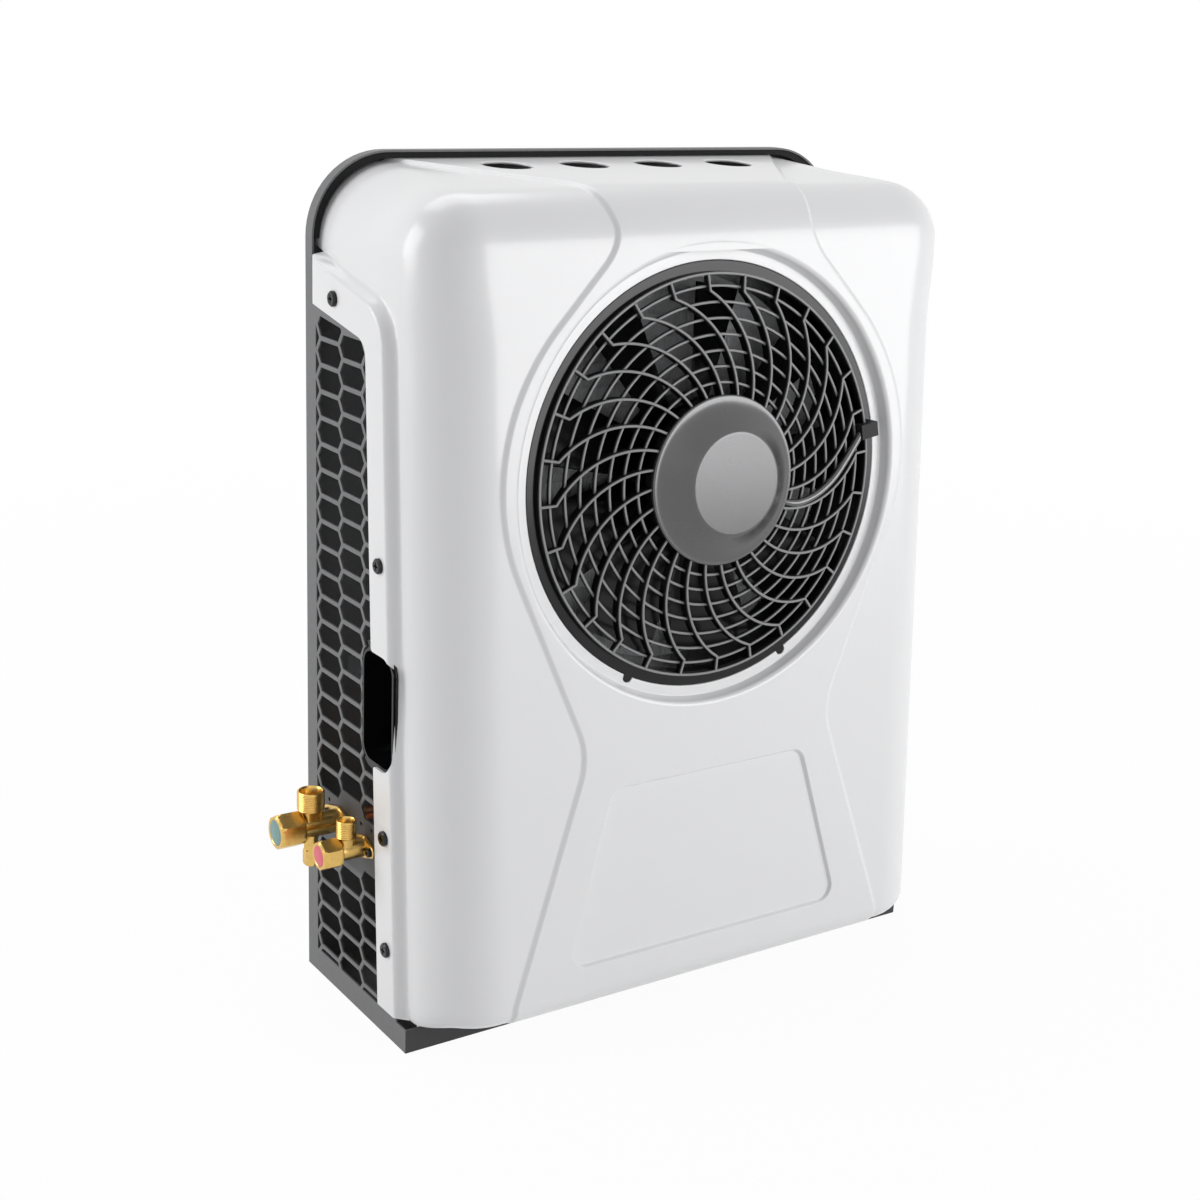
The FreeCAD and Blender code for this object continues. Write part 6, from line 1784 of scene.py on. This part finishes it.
@dataclass(frozen=True)
class ValveSizes:
    """Sizes of one service valve in millimetres, as in the CAD source.

    Args:
        name: Prefix of its pieces and bodies.
        depth: Distance of its axis from the back face.
        height: Height of its axis.
        reach: Distance of its cap's face from the side sheet.
        barrel: Radius of the barrel.
        neck: Radius of the neck under the port.
        port: Radius of the port's thread.
        port_bore: Radius of the port's bore.
        port_out: Distance of the port from the side sheet.
        port_top: Height of the port's mouth over the axis.
        port_thread: Length of the port's thread.
        flats: Width of the cap across its flats.
        cap_length: Length of the cap.
        stem: Radius of the stem.
        pitch: Distance between the flange's screws.
        ear: Radius of the flange's ears.
        socket: Radius of the socket inside the side sheet.
        pipe: Radius of the pipe in that socket.
        disc: Finish of the cap's face.
        service: Whether it has a charging port underneath.
    """

    name: str
    depth: float
    height: float
    reach: float
    barrel: float
    neck: float
    port: float
    port_bore: float
    port_out: float
    port_top: float
    port_thread: float
    flats: float
    cap_length: float
    stem: float
    pitch: float
    ear: float
    socket: float
    pipe: float
    disc: str
    service: bool = False


VALVES = (
    ValveSizes("large", 60.0, 155.5, 57.0, 9.5, 7.75, 11.1, 8.6, 26.0, 30.5, 16.0, 26.0, 22.0, 5.0, 38.0, 6.0, 7.95,
               6.35, "teal_disc", True),
    ValveSizes("small", 105.0, 150.0, 41.0, 7.8, 6.0, 7.94, 6.0, 17.0, 26.0, 14.6, 22.0, 17.5, 4.0, 26.0, 5.0, 6.36,
               4.76, "red_disc"),
)


@dataclass(frozen=True)
class ServicePort:
    """Sizes of the charging port under a valve, in millimetres.

    Args:
        tube: Radius of the tube, and half the cap's width across its flats.
        drop: Distance from the valve's axis down to the cap.
        thread: Radius of the thread under the cap.
        bore: Radius of the bore.
        cap: Length of the cap.
    """

    tube: float = 5.75
    drop: float = 19.5
    thread: float = 4.2
    bore: float = 2.5
    cap: float = 14.0


@dataclass(frozen=True)
class BrassDetail:
    """Small sizes that both valves share, in millimetres, or as shares of the size that is named.

    Args:
        clearance: Play between a stem or thread and its bore.
        stem_pitch: Pitch of the thread under the cap.
        port_pitch: Pitch of the port's thread.
        thread_depth: Depth of a thread, of its pitch.
        thread_runout: Length over which a thread fades at its end, of its pitch.
        thread_bevels: Bevels at the end and the start of a thread, of its pitch.
        mouth: Widening of a bore at its mouth, of the wall, then its share across and along.
        block_bevel: Bevel of the forged block.
        block_below: How far the block goes under the axis, of the barrel's radius.
        block_above: How far the block reaches into the port.
        flange_bevel: Bevel of the flange.
        flange_seat: Gap between the flange's bevel and the sheet.
        barrel_bevel: Bevel of the barrel's end.
        pipe_wall: Wall of the pipe.
        pipe_reach: Distance from the socket's inner end to the end of the pipe's bore.
        bore_extra: How far a bore goes on past the end of what sits in it.
        nut_stations: Places of a nut's sections, of its length.
        nut_flat_cut: How much less than the flats the cone's end is.
        nut_cone: Rise of the cone that cuts the corners, of the flats.
        nut_cone_length: Length of that cone, of the flats.
        nut_rim: Width of the rim round a nut's face.
        nut_sink: Depth of the face inside the rim.
        nut_wall: Thickness of the cap over its bore.
        disc_edge: Distance of the coloured face's edge from the flats.
        disc_profile: Steps in from that edge and down from the cap's face.
    """

    clearance: float = 0.05
    stem_pitch: float = 1.25
    port_pitch: float = 1.5
    thread_depth: float = 0.38
    thread_runout: float = 1.2
    thread_bevels: tuple[float, float] = (0.6, 0.4)
    mouth: tuple[float, float, float] = (0.7, 0.55, 0.8)
    block_bevel: float = 0.9
    block_below: float = 0.55
    block_above: float = 0.3
    flange_bevel: float = 0.7
    flange_seat: float = 0.05
    barrel_bevel: float = 0.8
    pipe_wall: float = 1.0
    pipe_reach: float = 9.0
    bore_extra: float = 1.0
    nut_stations: tuple[float, ...] = (0.0, 0.06, 0.14, 0.24, 0.5, 0.76, 0.86, 0.94, 1.0)
    nut_flat_cut: float = 0.4
    nut_cone: float = 0.16
    nut_cone_length: float = 0.3
    nut_rim: float = 2.2
    nut_sink: float = 0.5
    nut_wall: float = 4.0
    disc_edge: float = 2.8
    disc_profile: tuple[tuple[float, float], ...] = ((0.0, 0.6), (0.0, 0.25), (0.3, 0.1))


class Valve:
    """Brass service valve: body with threads and an oval flange, and its hexagon caps."""

    HALF_WIDTH = 255.0
    BACK = 87.5
    FLANGE = 3.0
    INSIDE = 20.0
    SOCKET_DEPTH = 8.0
    THREAD_GAP = 5.0
    THREAD_STEP = 1.5
    STEPS = 72
    FLANGE_STEPS = 96
    THREAD_STATIONS = 8
    SQUARENESS = 4

    def __init__(self, sizes: ValveSizes, finishes: FinishMaker) -> None:
        """Lays the valve's axes: out of the side, up and down.

        Args:
            sizes: Sizes of the valve.
            finishes: Maker of the materials.
        """
        self.size = sizes
        self.finishes = finishes
        self.detail = BrassDetail()
        self.service = ServicePort()
        self.centre = (-self.HALF_WIDTH, self.BACK - sizes.depth, sizes.height)
        self.outward = Frame(self.centre, (0.0, -1.0, 0.0), (0.0, 0.0, 1.0), (-1.0, 0.0, 0.0))
        foot = (self.centre[0] - sizes.port_out, self.centre[1], self.centre[2])
        self.upward = Frame(foot, (-1.0, 0.0, 0.0), (0.0, -1.0, 0.0), (0.0, 0.0, 1.0))
        self.downward = Frame(foot, (-1.0, 0.0, 0.0), (0.0, 1.0, 0.0), (0.0, 0.0, -1.0))

    def threaded(self, maker: MeshMaker, frame: Frame, radius: float, start: float, end: float, pitch: float,
                 bore: float, bore_start: float) -> None:
        """Adds a threaded sleeve: its radius follows a helix, crest to root and back over each pitch.

        Args:
            maker: Mesh it is added to.
            frame: Axes whose third one is the thread's.
            radius: Radius of the crests.
            start: Distance along the axis at which the sleeve begins.
            end: Distance at which it ends.
            pitch: Distance between crests.
            bore: Radius of the bore.
            bore_start: Distance at which the bore begins.
        """
        d = self.detail
        angles = circle(self.STEPS)[:, None]
        step = pitch / self.THREAD_STATIONS
        along = np.arange(start, end + step / 2, step)
        phase = (along / pitch - angles / (2 * math.pi)) % 1.0
        depth = d.thread_depth * pitch * smooth(1 - np.abs(2 * phase - 1))
        runout = smooth((along - start) / pitch) * smooth((end - along) / (d.thread_runout * pitch))
        far, near = (share * pitch for share in d.thread_bevels)
        bevel = np.clip(far - (end - along), 0, None) + np.clip(near - (along - start), 0, None)
        outer = radius - depth * runout - bevel
        widen, across, deep = d.mouth
        mouth = widen * (radius - bore)
        inner = [(bore + mouth * across, end), (bore, end - mouth * deep), (bore, bore_start)]
        if bore_start > start:
            inner += [(0.0, bore_start), (0.0, start)]
        self.add_turned(maker, frame, angles, (outer, along), inner)

    @staticmethod
    def add_turned(maker: MeshMaker, frame: Frame, angles: np.ndarray, outer: tuple[np.ndarray, np.ndarray],
                   inner: list[tuple[float, float]]) -> None:
        """Adds a piece that is round inside and has its own reach at each angle outside.

        Args:
            maker: Mesh it is added to.
            frame: Axes whose third one it turns about.
            angles: Angles as a column.
            outer: Reach at each angle and station, and the height of each station.
            inner: Radius and height of each point of the bore's profile, back from the last station.
        """
        reach, along = outer
        radius, height = np.array(inner, float).T
        rows = (len(angles), len(inner))
        reach = np.hstack([reach, np.broadcast_to(radius, rows)])
        maker.add(frame.place(about_axis(reach, angles, np.append(along, height))), ring=True)

    def block(self, maker: MeshMaker, frame: Frame, half: float, start: float, end: float) -> None:
        """Adds a forged block with a squarish section and bevelled ends.

        Its reach is one over the fourth root of the cosine's and the sine's fourth powers together.

        Args:
            maker: Mesh it is added to.
            frame: Axes whose third one it stands along.
            half: Half its width.
            start: Distance along the axis at which it begins.
            end: Distance at which it ends.
        """
        angles = circle(self.STEPS)
        power = self.SQUARENESS
        square = (np.abs(np.cos(angles)) ** power + np.abs(np.sin(angles)) ** power) ** (-1 / power)
        bevel = self.detail.block_bevel
        rows = [(half - bevel, start), (half, start + bevel), (half, end - bevel), (half - bevel, end)]
        maker.add(frame.place(np.array([about_axis(r * square, angles, h) for r, h in rows])))

    def flange(self, maker: MeshMaker) -> None:
        """Adds the oval flange: the hull of three circles, its edge bevelled.

        Args:
            maker: Mesh it is added to.
        """
        v, bevel = self.size, self.detail.flange_bevel
        out = directions(circle(self.FLANGE_STEPS))
        centres = np.array([[-v.pitch / 2, 0.0], [0.0, 0.0], [v.pitch / 2, 0.0]])
        radii = np.array([v.ear, v.barrel + self.THREAD_STEP, v.ear])
        nearest = np.argmax(out @ centres.T + radii, axis=1)
        rows = []
        for grow, level in ((-bevel, self.detail.flange_seat), (0.0, bevel), (0.0, self.FLANGE - bevel),
                            (-bevel, self.FLANGE)):
            loop = centres[nearest] + (radii[nearest] + grow)[:, None] * out
            rows.append(np.hstack([loop, np.full((len(loop), 1), level)]))
        maker.add(self.outward.place(np.array(rows)))

    def nut(self, maker: MeshMaker, frame: Frame, flats: float, start: float, end: float, bore: float,
            bore_end: float) -> None:
        """Adds a hexagon nut whose corners are cut by a cone at both ends, bored from its start.

        Its reach is that of the hexagon, or of the cone where that is less.

        Args:
            maker: Mesh it is added to.
            frame: Axes whose third one is the nut's.
            flats: Width across the flats.
            start: Distance along the axis at which it begins.
            end: Distance at which its face stands.
            bore: Radius of the bore.
            bore_end: Distance at which the bore ends.
        """
        d = self.detail
        angles = circle(self.FLANGE_STEPS)[:, None]
        hexagon = flats / 2 / np.cos((angles + math.pi / 6) % (math.pi / 3) - math.pi / 6)
        along = start + (end - start) * np.array(d.nut_stations)
        near = np.minimum(along - start, end - along)
        rise = np.sqrt(np.clip(near / (d.nut_cone_length * flats), 0, 1))
        outer = np.minimum(hexagon, flats / 2 - d.nut_flat_cut + d.nut_cone * flats * rise)
        face, sunk = flats / 2 - d.nut_rim, end - d.nut_sink
        inner = [(face, end), (face - d.nut_sink, sunk), (0.0, sunk), (0.0, bore_end), (bore, bore_end),
                 (bore, start)]
        self.add_turned(maker, frame, angles, (outer, along), inner)

    def build(self) -> list[bpy.types.Object]:
        """Makes the valve's body, its cap with the coloured face, and the cap of its charging port.

        Returns:
            The pieces.
        """
        v, d = self.size, self.detail
        brass = self.finishes.material("brass")
        seat = v.reach - v.cap_length
        pieces = []
        body = MeshMaker()
        self.add_body(body, seat)
        if v.service:
            pieces.append(self.build_service(body))
        pieces.append(body.build(v.name + "_valve", brass, "housing", v.name + "_valve_body"))
        cap = MeshMaker()
        self.nut(cap, self.outward, v.flats, seat, v.reach, v.barrel - self.THREAD_STEP + d.clearance,
                 v.reach - d.nut_wall)
        pieces.append(cap.build(v.name + "_nut", brass, v.name + "_cap", v.name + "_valve_cap"))
        disc = MeshMaker()
        face = v.flats / 2 - d.disc_edge
        edge = [(face - step, v.reach - down) for step, down in d.disc_profile]
        disc.turn([(0.0, edge[0][1]), *edge, (0.0, v.reach - d.clearance)], self.outward, self.STEPS)
        pieces.append(disc.build(v.name + "_disc", self.finishes.material(v.disc), v.name + "_cap"))
        return pieces

    def add_body(self, body: MeshMaker, seat: float) -> None:
        """Adds the flange, the barrel with its thread, the forged block and the port.

        Args:
            body: Mesh they are added to.
            seat: Distance of the cap's seat from the side sheet.
        """
        v, d = self.size, self.detail
        self.flange(body)
        socket_end = self.SOCKET_DEPTH - self.INSIDE
        clear = v.stem + d.clearance
        neck_top = v.port_top - v.port_thread
        bore, block_foot = v.pipe - d.pipe_wall, v.port_out - v.neck
        self.threaded(body, self.outward, v.barrel - self.THREAD_STEP, seat, v.reach - self.THREAD_GAP,
                      d.stem_pitch, clear, seat - d.bore_extra)
        body.turn([(bore, d.pipe_reach - self.INSIDE), (bore, block_foot), (clear, block_foot), (clear, seat),
                   (v.barrel - d.barrel_bevel, seat), (v.barrel, seat - d.barrel_bevel), (v.barrel, self.FLANGE),
                   (v.socket, self.FLANGE), (v.socket, -self.INSIDE), (v.pipe, -self.INSIDE), (v.pipe, socket_end),
                   (bore, socket_end)], self.outward, self.STEPS)
        self.block(body, self.upward, v.neck, -d.block_below * v.barrel, neck_top + d.block_above)
        self.threaded(body, self.upward, v.port, neck_top, v.port_top, d.port_pitch, v.port_bore,
                      neck_top + v.port_bore / 4)

    def build_service(self, body: MeshMaker) -> bpy.types.Object:
        """Adds the charging port to the body and makes its cap.

        Args:
            body: Mesh of the valve's body.

        Returns:
            The cap.
        """
        s = self.service
        middle = s.drop + s.cap / 2
        body.turn([(s.bore, 0), (s.tube, 0), (s.tube, s.drop), (s.thread, s.drop), (s.thread, middle),
                   (s.bore, middle)], self.downward, self.STEPS)
        lid = MeshMaker()
        self.nut(lid, self.downward, 2 * s.tube, s.drop, s.drop + s.cap, s.thread + self.detail.clearance,
                 middle + self.detail.bore_extra)
        return lid.build("service_lid", self.finishes.material("brass"), "service_cap", "service_cap")


def main() -> None:
    """Builds the scene in order."""
    logging.basicConfig(level=logging.INFO)
    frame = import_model()
    finishes = FinishMaker()
    paint_nodes(frame, finishes)
    cover = CoverSizes()
    pieces = [Cover(cover, finishes).build(), *Guard(GuardSizes(), cover, finishes).build()]
    for sizes in VALVES:
        pieces += Valve(sizes, finishes).build()
    for piece in pieces:
        LOG.info("made %s with %d points", piece.name, len(piece.data.vertices))
    Studio().build()
    PhotoCamera().build()
    set_output_look()
    LOG.info("the scene holds %d CAD nodes", len(frame["nodes"]))


if __name__ == "__main__":
    main()
